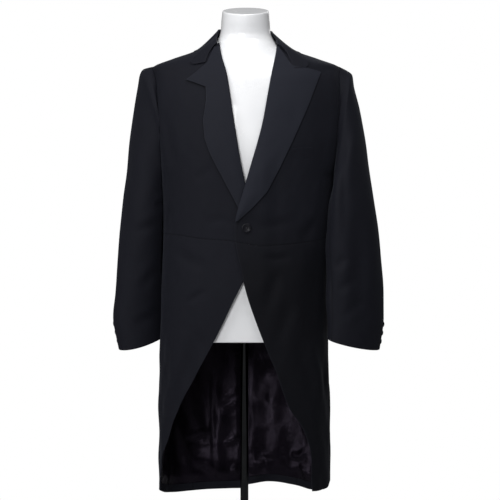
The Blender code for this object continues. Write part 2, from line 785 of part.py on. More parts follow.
def build_collar():
    """Stand and leaf in one piece, folded over round the neck."""
    knots = list(range(len(COLLAR)))
    columns = list(zip(*COLLAR))
    places = []
    for step in range((len(COLLAR) - 1) * COLLAR_STEPS + 1):
        at = step / COLLAR_STEPS
        station = Station(*(smooth_value(knots, column, at) for column in columns))
        fold = Vector(station[:3])
        angle = station.leaf_angle
        leaf, _ = grid_point(angle, station.leaf_z, COLLAR_OVER)
        fold_angle = degrees(atan2(fold.x - 0.003, 0.022 - fold.y)) % 360
        fold_angle = fold_angle if angle - fold_angle < 180 else fold_angle + 360
        middle_z = NECKLINE - 0.004 + (station.leaf_z - NECKLINE + 0.004) * 0.40
        control, _ = grid_point((angle + fold_angle) / 2, middle_z, COLLAR_CONTROL_OVER)
        away = leaf - fold
        away.z = 0
        away.normalize()
        foot, _ = grid_point(fold_angle, NECKLINE, -0.0002)
        foot.z = NECKLINE + 0.0012
        depth = eased((fold.z - NECKLINE) / 0.015)
        foot = (fold + Vector((0, 0, -0.006))).lerp(foot, depth)
        inside = fold - away * 0.0010 + Vector((0, 0, -0.0030))
        start = fold + away * 0.0032 + Vector((0, 0, -0.0028))
        line = [foot, foot.lerp(inside, 0.5), inside, fold, start]
        for share in (0.3, 0.55, 0.8, 1.0):
            line.append(
                start * (1 - share) ** 2 + control * 2 * share * (1 - share) + leaf * share**2
            )
        places.append(line)
    rows = []
    for k, line in enumerate(places):
        before, after = places[max(k - 1, 0)], places[min(k + 1, len(places) - 1)]
        row = []
        for i, point in enumerate(line):
            along = after[i] - before[i]
            across = line[min(i + 1, len(line) - 1)] - line[max(i - 1, 0)]
            row.append((point, along.cross(across).normalized() * -1))
        rows.append(row)
    wall("collar", rows, COLLAR_WALL, "worsted")


def build_welt():
    """The breast pocket's welt, lying on the left forepart."""
    rows = []
    for share in (0.0, 0.5, 1.0):
        line = []
        for along in shares(3):
            x = WELT_START_X + (WELT_END_X - WELT_START_X) * along
            z = WELT_TOP - WELT_DEPTH * (1 - share) + WELT_SLANT * (along - 0.5)
            line.append(front_place(x, z, WELT_OVER + WELT_CLOTH))
        rows.append(line)
    wall("breast_welt", rows, WELT_CLOTH, "worsted")


def build_button(name, radius, place, normal, sides):
    """A flat sew-through button with a raised rim, its back against the cloth."""
    height = radius * 0.34
    profile = [
        (0.0, height * 0.72),
        (radius * 0.70, height * 0.72),
        (radius * 0.82, height),
        (radius * 0.94, height * 0.92),
        (radius, height * 0.5),
        (radius * 0.88, 0.0),
        (0.0, 0.0),
    ]
    builder = bmesh.new()
    verts = [builder.verts.new((r, 0, z)) for r, z in profile]
    edges = [builder.edges.new(pair) for pair in zip(verts, verts[1:])]
    bmesh.ops.spin(
        builder,
        geom=verts + edges,
        cent=(0, 0, 0),
        axis=(0, 0, 1),
        angle=2 * pi,
        steps=sides,
        use_merge=True,
    )
    bmesh.ops.remove_doubles(builder, verts=builder.verts, dist=1e-5)
    button = new_object(name, builder, "button")
    button.rotation_mode = "QUATERNION"
    button.rotation_quaternion = normal.to_track_quat("Z", "Y")
    button.location = place
    return button


def seated(carrier, place, normal, radius):
    """The place of a disc that rests, a seam's gap clear, on the cloth that carries it."""
    tree = BVHTree.FromObject(carrier, bpy.context.evaluated_depsgraph_get())
    across = normal.orthogonal().normalized()
    along = normal.cross(across)
    rises = []
    for reach in (0.0, 0.5, 1.0):
        for step in range(8):
            turn = 2 * pi * step / 8
            offset = (across * cos(turn) + along * sin(turn)) * radius * reach
            hit, _, _, _ = tree.ray_cast(place + offset + normal * 0.02, -normal, 0.04)
            if hit is not None:
                rises.append((hit - place).dot(normal))
    return place + normal * (max(rises) + SEAM)


def build_buttons(sleeves):
    """The front button, three on each cuff by the hind seam, and two at the back waist."""
    objects = bpy.data.objects
    place, normal = front_place(FRONT_BUTTON_X, FRONT_BUTTON_Z, 0.0)
    place = seated(objects["forepart_left"], place, normal, FRONT_BUTTON_RADIUS)
    build_button("front_button", FRONT_BUTTON_RADIUS, place, normal, 20)
    for side, (rings, normals) in sleeves.items():
        word = side_name(side)
        column = HIND_SEAM_SIDE + 1
        for number, share in enumerate(CUFF_BUTTON_SHARES, 1):
            point = rings[-2][column].lerp(rings[-1][column], share)
            out = normals[-2][column].lerp(normals[-1][column], share).normalized()
            point = seated(objects[f"topsleeve_{word}"], point, out, CUFF_BUTTON_RADIUS)
            build_button(f"cuff_button_{word}_{number}", CUFF_BUTTON_RADIUS, point, out, 14)
        angle = side * (reading(BACK_SEAM, WAIST_BUTTON_Z).angle + 5)
        place, normal = grid_point(angle, WAIST_BUTTON_Z, 0.0)
        place = seated(objects[f"back_{word}"], place, normal, WAIST_BUTTON_RADIUS)
        build_button(f"waist_button_{word}", WAIST_BUTTON_RADIUS, place, normal, 16)


def build_form():
    """The smooth torso form, inside the coat and up through the neck, with a flat foot."""
    rings = []
    for z in [FORM_BOTTOM] + FORM_HEIGHTS + CHEST_HEIGHTS + SHOULDER_HEIGHTS:
        room = CLOTH + reading(FORM_ROOM, z).room
        ring = []
        for index in range(FORM_SIDES):
            point, _ = grid_point(360 * index / FORM_SIDES, z, -room)
            ring.append(point if rings else Vector((point.x, point.y, FORM_BOTTOM)))
        rings.append(ring)
    for row in NECK:
        tilt = NECK_TILT * eased((row.z - 1.476) / 0.067)
        ring = []
        for index in range(FORM_SIDES):
            turn = 2 * pi * index / FORM_SIDES
            y = -row.front + (row.front + row.back) * (1 - cos(turn)) / 2
            x = row.centre_x + row.half_width * sin(turn)
            middle = (row.back - row.front) / 2
            ring.append(Vector((x, y, row.z + tilt * (y - middle) / row.back)))
        rings.append(ring)
    builder = bmesh.new()
    loops = [[builder.verts.new(p) for p in ring] for ring in rings]
    for low, high in zip(loops, loops[1:]):
        for a, b, c, d in zip(low, low[1:] + low[:1], high[1:] + high[:1], high):
            builder.faces.new((a, b, c, d))
    builder.faces.new(loops[0][::-1])
    builder.faces.new(loops[-1])
    form = new_object("torso_form", builder, "form")
    bore_top = FORM_BOTTOM + POLE_IN_FORM + SEAM
    profile = cylinder_profile(POLE_RADIUS + SEAM, FORM_BOTTOM - 0.02, bore_top)
    cut_by(form, as_cutter(turned("pole_bore", profile, "form", BORE_SIDES)))


def cylinder_profile(radius, low, high):
    return [(0.0, high), (radius, high), (radius, low), (0.0, low)]


def turned(name, profile, material, sides):
    """A solid turned round the pole's axis from a profile of (radius, height)."""
    builder = bmesh.new()
    verts = [builder.verts.new((r, 0, z)) for r, z in profile]
    edges = [builder.edges.new(pair) for pair in zip(verts, verts[1:])]
    bmesh.ops.spin(
        builder,
        geom=verts + edges,
        cent=(0, 0, 0),
        axis=(0, 0, 1),
        angle=2 * pi,
        steps=sides,
        use_merge=True,
    )
    bmesh.ops.remove_doubles(builder, verts=builder.verts, dist=1e-5)
    return new_object(name, builder, material)


def build_stand():
    """The pole, let into the form and the base, and the flat round base."""
    pole = cylinder_profile(POLE_RADIUS, BORE_FLOOR + SEAM, FORM_BOTTOM + POLE_IN_FORM)
    turned("stand_pole", pole, "steel", BORE_SIDES)
    base = [
        (0.0, BORE_FLOOR),
        (POLE_RADIUS + SEAM, BORE_FLOOR),
        (POLE_RADIUS + SEAM, HUB_TOP),
        (HUB_RADIUS - 0.002, HUB_TOP),
        (HUB_RADIUS, HUB_TOP - 0.002),
        (HUB_RADIUS + 0.004, BASE_CENTRE),
        (BASE_RADIUS - 0.006, BASE_RIM + 0.004),
        (BASE_RADIUS, BASE_RIM),
        (BASE_RADIUS, 0.0),
        (0.0, 0.0),
    ]
    turned("stand_base", base, "steel", BASE_SIDES)


def build_materials():
    for name, (colour, roughness, metallic) in MATERIALS.items():
        material = bpy.data.materials.new(name)
        material.use_nodes = True
        shader = material.node_tree.nodes["Principled BSDF"]
        shader.inputs["Base Color"].default_value = (*colour, 1.0)
        shader.inputs["Roughness"].default_value = roughness
        shader.inputs["Metallic"].default_value = metallic


def main():
    for obj in list(bpy.data.objects):
        bpy.data.objects.remove(obj)
    build_materials()
    for side in (1, -1):
        build_body(side)
    sleeves = {side: build_sleeve(side) for side in (1, -1)}
    build_lapels()
    build_collar()
    build_welt()
    build_buttons(sleeves)
    build_form()
    build_stand()


main()
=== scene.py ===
"""Looks of a morning coat on a limbless torso form and its stand.

Metres, +Z up, origin on the floor under the pole, coat facing -Y. Left and right are the
wearer's, so the wearer's left is +X. An angle round the body runs from 0 at the centre front
through +90 at the wearer's left side to 180 at the centre back. A turn round a sleeve runs
from 0 at its outer side through 90 at its front.
"""

import logging
from dataclasses import dataclass, field
from enum import Enum
from math import cos, pi, radians, sin
from typing import Callable, Sequence

import bmesh
import bpy
import numpy as np
from mathutils import Matrix, Vector
from mathutils.bvhtree import BVHTree


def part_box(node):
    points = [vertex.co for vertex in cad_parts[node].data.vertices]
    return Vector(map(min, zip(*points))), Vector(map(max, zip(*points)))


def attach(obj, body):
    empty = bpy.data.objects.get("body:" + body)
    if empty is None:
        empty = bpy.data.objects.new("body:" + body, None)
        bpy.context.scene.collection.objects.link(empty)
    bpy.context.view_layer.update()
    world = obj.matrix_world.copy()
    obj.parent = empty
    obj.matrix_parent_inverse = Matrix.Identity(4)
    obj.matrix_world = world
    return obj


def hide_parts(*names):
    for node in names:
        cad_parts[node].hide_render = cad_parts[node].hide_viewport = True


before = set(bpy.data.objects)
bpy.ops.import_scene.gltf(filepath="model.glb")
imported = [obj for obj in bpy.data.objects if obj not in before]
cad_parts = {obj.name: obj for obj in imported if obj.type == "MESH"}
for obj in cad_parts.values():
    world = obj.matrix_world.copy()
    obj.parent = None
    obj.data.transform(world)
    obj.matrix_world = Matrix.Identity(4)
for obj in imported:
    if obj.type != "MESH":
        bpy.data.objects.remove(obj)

Array = np.ndarray
Places = Sequence[tuple[float, float]]

logger = logging.getLogger("morning_coat")

# Coat surface by height: half_width, front, back, side_y, centre_x, power
BODY = (
    (0.440, 0.1940, 0.092, 0.142, 0.012, 0.0000, 2.50),
    (0.570, 0.1938, 0.102, 0.146, 0.012, 0.0005, 2.50),
    (0.663, 0.1932, 0.110, 0.147, 0.012, 0.0000, 2.50),
    (0.790, 0.1892, 0.119, 0.144, 0.010, 0.0000, 2.50),
    (0.900, 0.1880, 0.124, 0.137, 0.010, 0.0008, 2.45),
    (1.025, 0.1888, 0.123, 0.117, 0.010, 0.0050, 2.40),
    (1.120, 0.1925, 0.127, 0.116, 0.010, 0.0080, 2.40),
    (1.220, 0.2005, 0.130, 0.125, 0.011, 0.0080, 2.40),
    (1.310, 0.2085, 0.124, 0.131, 0.012, 0.0080, 2.30),
    (1.375, 0.2125, 0.111, 0.128, 0.014, 0.0080, 2.15),
    (1.414, 0.2125, 0.097, 0.120, 0.016, 0.0040, 2.00),
    (1.434, 0.1680, 0.086, 0.111, 0.018, 0.0020, 1.95),
    (1.449, 0.1240, 0.073, 0.101, 0.020, 0.0020, 1.95),
    (1.468, 0.0800, 0.052, 0.089, 0.022, 0.0030, 2.00),
)
# Neck of the form: half_width, front, back, centre_x
NECK = (
    (1.475, 0.0670, 0.0440, 0.0800, 0.0030),
    (1.486, 0.0598, 0.0435, 0.0765, 0.0025),
    (1.501, 0.0560, 0.0465, 0.0740, 0.0025),
    (1.522, 0.0545, 0.0520, 0.0700, 0.0025),
    (1.543, 0.0525, 0.0560, 0.0620, 0.0030),
)
FORM_ROOM = (
    (0.790, 0.012),
    (1.020, 0.010),
    (1.200, 0.009),
    (1.330, 0.006),
    (1.400, 0.0014),
    (1.470, 0.0014),
)
# Front edges: x by height
LEFT_EDGE = (
    (0.440, 0.1540), (0.490, 0.1500), (0.535, 0.1499), (0.562, 0.1460), (0.592, 0.1370),
    (0.618, 0.1236), (0.645, 0.1036), (0.688, 0.0858), (0.721, 0.0746), (0.771, 0.0540),
    (0.800, 0.0421), (0.932, -0.0017), (0.956, -0.0059), (0.987, -0.0138), (1.024, -0.0204),
    (1.051, -0.0217), (1.063, -0.0204), (1.150, 0.0027), (1.290, 0.0414), (1.344, 0.0511),
    (1.401, 0.0616), (1.433, 0.0684), (1.459, 0.0726), (1.470, 0.0735),
)
RIGHT_EDGE = (
    (0.440, -0.1890), (0.479, -0.1880), (0.530, -0.1862), (0.560, -0.1781), (0.599, -0.1658),
    (0.649, -0.1476), (0.707, -0.1177), (0.756, -0.0908), (0.799, -0.0676), (0.932, -0.0021),
    (0.960, 0.0140), (1.000, 0.0210), (1.050, 0.0220), (1.100, 0.0180), (1.150, 0.0027),
    (1.290, -0.0227), (1.344, -0.0304), (1.396, -0.0392), (1.433, -0.0498), (1.459, -0.0545),
    (1.470, -0.0560),
)
# Outer edges of the lapels, button to gorge: x by height
LEFT_LAPEL = (
    (1.066, -0.0140), (1.097, 0.0193), (1.130, 0.0495), (1.181, 0.0767), (1.237, 0.1034),
    (1.282, 0.1234), (1.324, 0.1413), (1.360, 0.1548), (1.398, 0.1694), (1.402, 0.1580),
    (1.4065, 0.1390), (1.4095, 0.1160), (1.411, 0.1070), (1.420, 0.0990), (1.455, 0.0765),
)
RIGHT_LAPEL = (
    (1.096, -0.0135), (1.130, -0.0310), (1.181, -0.0580), (1.214, -0.0745), (1.248, -0.0868),
    (1.290, -0.0902), (1.334, -0.0836), (1.363, -0.0848), (1.368, -0.0971), (1.374, -0.1127),
    (1.380, -0.1285), (1.396, -0.1070), (1.409, -0.0929), (1.418, -0.0820), (1.455, -0.0665),
)
# Seams: degrees round by height
SIDE_SEAM = ((1.00, 80), (1.16, 86), (1.22, 88), (1.39, 98), (1.47, 98))
BACK_SEAM = (
    (0.44, 146), (0.62, 147), (0.80, 150), (0.95, 155), (1.03, 157), (1.10, 150),
    (1.16, 140), (1.21, 130), (1.25, 119), (1.31, 110), (1.39, 98), (1.47, 98),
)
# Hem and waist seam: height by degrees round
HEM = (
    (-180, 0.4490), (-165, 0.4480), (-130, 0.4444), (-112, 0.4470), (-90, 0.4607),
    (-60, 0.4660), (50, 0.4640), (70, 0.4680), (90, 0.4790), (112, 0.4540), (130, 0.4500),
    (150, 0.4590), (168, 0.4650), (180, 0.4570),
)
WAIST = (
    (-160, 1.0410), (-90, 1.0400), (-63, 1.0377), (-45, 1.0337), (-27, 1.0271), (-8, 1.0225),
    (0, 1.0160), (6, 1.0110), (22, 1.0139), (43, 1.0205), (90, 1.0340), (160, 1.0380),
)
# How far the left front stands off where it laps over the right: rise by height
LEFT_LIFT = (
    (0.860, 0.0), (0.930, 0.0046), (1.060, 0.0046), (1.090, 0.0075), (1.160, 0.0070), (1.230, 0.0),
)
# Sleeves: outer x, y, z, inner x, y, z, half depth, front drop, from sleeve head to cuff
LEFT_SLEEVE = (
    (0.2325, 0.018, 1.4090, 0.2080, 0.016, 1.158, 0.068, 0.000),
    (0.2445, 0.014, 1.3985, 0.2075, 0.010, 1.148, 0.072, 0.000),
    (0.2490, 0.010, 1.3700, 0.2070, 0.000, 1.138, 0.074, 0.000),
    (0.2613, 0.004, 1.3188, 0.2020, -0.012, 1.122, 0.075, 0.000),
    (0.2703, -0.004, 1.2668, 0.1975, -0.030, 1.105, 0.074, 0.000),
    (0.2805, -0.010, 1.1945, 0.1950, -0.042, 1.080, 0.071, 0.000),
    (0.2910, -0.014, 1.1250, 0.1930, -0.050, 1.048, 0.067, 0.000),
    (0.3020, -0.018, 1.0500, 0.1895, -0.057, 1.004, 0.061, 0.000),
    (0.3090, -0.021, 0.9700, 0.1880, -0.062, 0.946, 0.054, 0.001),
    (0.3130, -0.022, 0.9030, 0.1875, -0.065, 0.896, 0.048, 0.002),
    (0.3141, -0.022, 0.8487, 0.1888, -0.066, 0.856, 0.044, 0.004),
    (0.3050, -0.022, 0.7790, 0.1860, -0.066, 0.8054, 0.041, 0.006),
)
RIGHT_SLEEVE = (
    (0.2295, 0.018, 1.4120, 0.1930, 0.026, 1.158, 0.070, 0.000),
    (0.2370, 0.018, 1.4000, 0.1905, 0.036, 1.150, 0.074, 0.000),
    (0.2420, 0.020, 1.3700, 0.1880, 0.048, 1.140, 0.075, 0.000),
    (0.2513, 0.022, 1.3130, 0.1860, 0.054, 1.123, 0.075, 0.000),
    (0.2588, 0.022, 1.2610, 0.1850, 0.058, 1.105, 0.073, 0.000),
    (0.2660, 0.020, 1.1855, 0.1845, 0.060, 1.080, 0.070, 0.000),
    (0.2743, 0.016, 1.1230, 0.1838, 0.062, 1.048, 0.066, 0.000),
    (0.2818, 0.012, 1.0500, 0.1825, 0.066, 1.010, 0.060, 0.000),
    (0.2886, 0.008, 0.9700, 0.1810, 0.072, 0.952, 0.053, 0.001),
    (0.2925, 0.004, 0.9030, 0.1805, 0.076, 0.905, 0.047, 0.002),
    (0.2975, 0.002, 0.8487, 0.1805, 0.077, 0.865, 0.043, 0.005),
    (0.2840, 0.000, 0.7775, 0.1810, 0.076, 0.8186, 0.038, 0.008),
)
# Collar stations, left gorge to right gorge: fold x, y, z, leaf degrees round, leaf height
COLLAR = (
    (0.0750, -0.0365, 1.4690, 28.3, 1.4030),
    (0.0725, -0.0230, 1.4770, 37.4, 1.4072),
    (0.0685, -0.0100, 1.4850, 44.7, 1.4270),
    (0.0655, -0.0020, 1.4890, 58, 1.4400),
    (0.0610, 0.0200, 1.4990, 88, 1.4500),
    (0.0545, 0.0500, 1.5030, 118, 1.4500),
    (0.0330, 0.0780, 1.5050, 148, 1.4480),
    (0.0030, 0.0885, 1.5055, 180, 1.4470),
    (-0.0280, 0.0780, 1.5055, 212, 1.4480),
    (-0.0500, 0.0500, 1.5055, 242, 1.4500),
    (-0.0575, 0.0200, 1.5030, 272, 1.4520),
    (-0.0608, -0.0020, 1.4900, 300, 1.4500),
    (-0.0622, -0.0120, 1.4840, 317, 1.4330),
    (-0.0625, -0.0230, 1.4785, 327, 1.4155),
    (-0.0615, -0.0380, 1.4710, 334.5, 1.4183),
)

# Studio lamps: name, place, size in metres, power in watts
LAMPS = (
    ("key_light", (-1.60, -1.00, 2.40), 0.9, 19.8),
    ("top_light", (0.35, -0.75, 2.60), 0.9, 14.0),
    ("front_light", (-0.75, -2.60, 1.60), 1.0, 27.0),
    ("low_light", (-0.75, -2.60, 1.55), 0.25, 6.0),
    ("back_light", (1.4, 3.6, 3.0), 2.2, 14.0),
)
LAMPS_AIM = (0.0, 0.0, 1.05)
# Painted shade on the lower front, where the photo shows it darker: heights and depths over which
# it fades
SHADE_HEIGHTS = (0.95, 1.09)
SHADE_DEPTHS = (-0.03, 0.05)

CLOTH = 0.002
SEAM = 0.0003
NECKLINE = 1.468
CHEST_ROW = 1.160
HEM_LEVEL, WAIST_LEVEL = 0.455, 1.020
FORM_BOTTOM = 0.797


class Side(Enum):
    """A side of the coat, by the wearer's own left and right."""

    LEFT = 1
    RIGHT = -1

    @property
    def word(self) -> str:
        """The word that piece names end in."""
        return self.name.lower()


class Border(Enum):
    """What the edge of a piece is."""

    SEWN = "sewn to its neighbour"
    FREE = "turned in and pressed"
    HIDDEN = "under another piece"


class Slot(Enum):
    """The record's material slots."""

    WORSTED = "worsted"
    SATIN = "satin"
    FORM = "form"
    STEEL = "steel"
    BUTTON = "button"


def eased(share: Array) -> Array:
    """0 to 1 with a soft start and end."""
    share = np.clip(share, 0.0, 1.0)
    return share * share * (3 - 2 * share)


def signed_power(value: Array, power: Array) -> Array:
    """A power that keeps its base's sign."""
    return np.copysign(np.abs(value) ** power, value)


def bent(start: Array, control: Array, end: Array, share: float) -> Array:
    """A point along the curve from start to end that control pulls aside."""
    return start * (1 - share) ** 2 + control * 2 * share * (1 - share) + end * share**2


def unit(vectors: Array) -> Array:
    """Vectors at length one."""
    return vectors / np.maximum(np.linalg.norm(vectors, axis=-1, keepdims=True), 1e-12)


def graded(
    length: float, count: int, near: Places | Sequence[float] = (0.0006, 0.0015, 0.003)
) -> Array:
    """Shares along a piece, close together at both ends and even between.

    Args:
        length: The piece's length there, in metres.
        count: Steps of the even part.
        near: Distances from each end that get a row of their own.

    Returns:
        Shares from 0 to 1.
    """
    ends = np.array([0.0, *near]) / length
    middle = np.linspace(ends[-1], 1 - ends[-1], count + 1)[1:-1]
    return np.concatenate([ends, middle, 1 - ends[::-1]])


class SmoothTable:
    """A table with smooth curves through its rows that never overshoot them."""

    def __init__(self, rows: Sequence[Sequence[float]]) -> None:
        """Finds the slope of each column at each row.

        Args:
            rows: Rows whose first column is what the table is read by.
        """
        table = np.array(rows, float)
        self.knots, self.values = table[:, 0], table[:, 1:]
        spans = np.diff(self.knots)[:, None]
        rises = np.diff(self.values, axis=0) / spans
        slopes = np.concatenate([rises[:1], np.zeros_like(rises[1:]), rises[-1:]])
        before, after = rises[:-1], rises[1:]
        near, far = spans[1:] + 2 * spans[:-1], 2 * spans[1:] + spans[:-1]
        same = before * after > 0
        safe_before, safe_after = np.where(same, before, 1), np.where(same, after, 1)
        harmonic = (near + far) / (far / safe_before + near / safe_after)
        slopes[1:-1] = np.where(same, harmonic, 0.0)
        self.slopes = slopes

    def at(self, where: Array) -> Array:
        """The columns at each place.

        Args:
            where: Values of the first column.

        Returns:
            The other columns, along a last axis.
        """
        where = np.clip(np.asarray(where, float), self.knots[0], self.knots[-1])
        k = np.clip(np.searchsorted(self.knots, where, "right") - 1, 0, len(self.knots) - 2)
        span = (self.knots[k + 1] - self.knots[k])[..., None]
        t = (where - self.knots[k])[..., None] / span
        return (
            self.values[k] * (1 + 2 * t) * (1 - t) ** 2
            + self.slopes[k] * span * t * (1 - t) ** 2
            + self.values[k + 1] * t * t * (3 - 2 * t)
            + self.slopes[k + 1] * span * t * t * (t - 1)
        )

    def one(self, where: Array) -> Array:
        """The first column after the knots, at each place."""
        return self.at(where)[..., 0]


@dataclass(frozen=True)
class Crease:
    """A soft trough or ridge that the cloth keeps, along a line of (degrees round, height)."""

    path: Places
    width: float
    depth: float
    lip: float = 0.35
    ends: float = 0.7

    def height(self, angle: Array, z: Array, radius: float) -> Array:
        """How far the crease moves the cloth out.

        Args:
            angle: Degrees round.
            z: Heights.
            radius: Metres for each radian round.

        Returns:
            Metres outwards.
        """
        line = np.array(self.path, float)
        line[:, 0] = np.radians(line[:, 0]) * radius
        x = np.radians(angle) * radius
        steps = np.linalg.norm(np.diff(line, axis=0), axis=1)
        total, walked = steps.sum(), 0.0
        nearest = np.full(np.shape(x), 1e9)
        share, aside = np.zeros_like(nearest), np.zeros_like(nearest)
        for (ax, az), (bx, bz), step in zip(line, line[1:], steps):
            t = np.clip(((x - ax) * (bx - ax) + (z - az) * (bz - az)) / step**2, 0, 1)
            dx, dz = x - ax - (bx - ax) * t, z - az - (bz - az) * t
            gap = np.hypot(dx, dz)
            closer = gap < nearest
            nearest = np.where(closer, gap, nearest)
            share = np.where(closer, (walked + t * step) / total, share)
            left = np.sign((bx - ax) * dz - (bz - az) * dx)
            aside = np.where(closer, left, aside)
            walked += step
        fade = np.sin(pi * np.clip(share, 0.0, 1.0)) ** self.ends
        across = nearest / self.width
        beside = np.exp(-(((aside * across - 1.7) / 0.9) ** 2))
        return self.depth * fade * (np.exp(-(across**2)) - self.lip * beside)


@dataclass(frozen=True)
class Ripples:
    """Slight unevenness of hung cloth, the same on every run."""

    seed: int
    shortest: float
    longest: float
    upright: float = 0.5
    count: int = 16

    def height(self, x: Array, z: Array) -> Array:
        """Unevenness at each place, about -1 to 1."""
        dice = np.random.default_rng(self.seed)
        total = np.zeros(np.shape(x))
        for _ in range(self.count):
            length = dice.uniform(self.shortest, self.longest)
            lean = dice.uniform(-1, 1) * (1 - self.upright) * pi / 2
            phase, weight = dice.uniform(0, 2 * pi), dice.uniform(0.5, 1.0)
            wave = (x * np.cos(lean) + z * np.sin(lean)) * 2 * pi / length
            total = total + weight * np.sin(wave + phase)
        return total / self.count**0.5


# Creases of the coat's body, as (degrees round, height), width and depth in metres
BODY_CREASES = (
    Crease(((-37.7, 0.884), (-29.5, 0.901), (-22.7, 0.913)), 0.0085, -0.0030),
    Crease(((-54.2, 1.002), (-36.9, 0.976), (-24.0, 0.963)), 0.014, -0.0022),
    Crease(((-31.9, 1.157), (-23.9, 1.174), (-18.1, 1.187)), 0.010, -0.0015),
    Crease(((-62.0, 1.314), (-58.0, 1.247), (-57.0, 1.191)), 0.022, -0.0032),
    Crease(((-42.8, 0.825), (-46.3, 0.736), (-47.8, 0.646)), 0.030, 0.0044),
    Crease(((-26.2, 0.826), (-37.9, 0.732), (-52.9, 0.623)), 0.026, -0.0038),
    Crease(((-62.8, 1.103), (-67.1, 1.065), (-62.8, 1.038)), 0.020, -0.0030),
    Crease(((-4.9, 1.055), (-13.3, 1.069), (-25.2, 1.064)), 0.010, -0.0015),
    Crease(((3.9, 1.049), (15.0, 1.057), (27.2, 1.064)), 0.011, -0.0020),
    Crease(((7.7, 0.987), (16.6, 0.982), (26.9, 0.986)), 0.0085, -0.0028),
    Crease(((18.3, 0.954), (13.1, 0.910), (9.3, 0.866)), 0.013, -0.0030),
    Crease(((36.7, 1.020), (44.1, 1.047), (53.0, 1.065)), 0.016, -0.0034),
    Crease(((29.2, 0.892), (22.7, 0.848), (16.8, 0.793)), 0.016, -0.0028),
    Crease(((55.1, 1.002), (49.1, 0.891), (60.0, 0.801)), 0.030, -0.0046),
    Crease(((60.0, 1.250), (56.0, 1.200), (55.0, 1.150)), 0.024, -0.0016),
    Crease(((46.4, 0.803), (52.6, 0.713), (60.4, 0.600)), 0.030, 0.0048),
    Crease(((100.0, 0.980), (104.0, 0.800), (102.0, 0.600), (108.0, 0.470)), 0.030, -0.0046),
    Crease(((128.0, 0.900), (126.0, 0.700), (122.0, 0.480)), 0.030, 0.0046),
    Crease(((-98.0, 0.960), (-102.0, 0.780), (-99.0, 0.620), (-104.0, 0.460)), 0.032, -0.0044),
    Crease(((-131.0, 0.880), (-127.0, 0.690), (-125.0, 0.470)), 0.028, 0.0048),
    Crease(((165.0, 1.205), (151.0, 1.165), (138.0, 1.100)), 0.018, -0.0030),
    Crease(((-168.0, 1.235), (-152.0, 1.172), (-140.0, 1.105)), 0.020, -0.0030),
    Crease(((170.0, 0.982), (160.0, 0.957), (147.0, 0.961)), 0.012, -0.0026),
    Crease(((-172.0, 0.990), (-158.0, 0.964), (-146.0, 0.972)), 0.011, -0.0026),
    Crease(((166.0, 0.860), (163.0, 0.700), (160.0, 0.470)), 0.026, -0.0036),
    Crease(((-169.0, 0.880), (-164.0, 0.690), (-162.0, 0.470)), 0.028, -0.0038),
)
# Fullness of the chest in front of the armholes
CHEST_DRAPE = (
    Crease(((60.0, 1.405), (66.0, 1.310), (66.0, 1.170)), 0.034, 0.0085, lip=0.0, ends=0.5),
    Crease(((-60.0, 1.405), (-66.0, 1.310), (-66.0, 1.170)), 0.030, 0.0045, lip=0.0, ends=0.5),
)
# Creases of the sleeves, as (degrees round the sleeve, height)
LEFT_SLEEVE_CREASES = (
    Crease(((90.0, 1.330), (120.0, 1.227), (127.0, 1.024)), 0.016, 0.0022),
    Crease(((72.0, 1.316), (96.0, 1.179), (102.0, 1.025)), 0.012, -0.0030),
    Crease(((67.0, 1.080), (73.0, 0.957), (81.0, 0.823)), 0.018, -0.0044),
    Crease(((132.0, 0.958), (116.0, 0.974), (99.0, 0.989)), 0.010, -0.0030),
    Crease(((127.0, 0.908), (104.0, 0.927), (83.0, 0.936)), 0.011, -0.0024),
    Crease(((117.0, 0.850), (93.0, 0.873), (67.0, 0.891)), 0.011, -0.0022),
    Crease(((20.0, 1.200), (40.0, 1.050), (58.0, 0.868)), 0.022, 0.0032),
    Crease(((200.0, 1.010), (240.0, 0.990), (285.0, 1.015)), 0.012, -0.0032),
    Crease(((210.0, 1.062), (245.0, 1.048), (280.0, 1.060)), 0.011, -0.0026),
    Crease(((142.0, 0.889), (172.0, 0.886), (210.0, 0.889)), 0.050, 0.0060, lip=0.0),
    Crease(((250.0, 1.300), (262.0, 1.180), (270.0, 1.090)), 0.020, 0.0034),
)
RIGHT_SLEEVE_CREASES = (
    Crease(((94.0, 1.102), (109.0, 1.105), (129.0, 1.110)), 0.009, -0.0034),
    Crease(((128.0, 1.090), (124.0, 0.981), (119.0, 0.832)), 0.020, -0.0022),
    Crease(((53.0, 1.042), (85.0, 1.056), (111.0, 1.061)), 0.012, -0.0030),
    Crease(((30.0, 1.320), (50.0, 1.161), (59.0, 0.979)), 0.028, 0.0042),
    Crease(((72.0, 0.913), (95.0, 0.944), (118.0, 0.962)), 0.012, -0.0028),
    Crease(((61.0, 0.833), (93.0, 0.850), (120.0, 0.862)), 0.011, -0.0024),
    Crease(((205.0, 0.995), (238.0, 0.985), (280.0, 1.000)), 0.012, -0.0032),
    Crease(((212.0, 1.050), (248.0, 1.040), (284.0, 1.048)), 0.011, -0.0028),
    Crease(((210.0, 0.925), (250.0, 0.912), (288.0, 0.935)), 0.012, -0.0022),
    Crease(((255.0, 1.310), (266.0, 1.190), (272.0, 1.080)), 0.022, 0.0034),
)
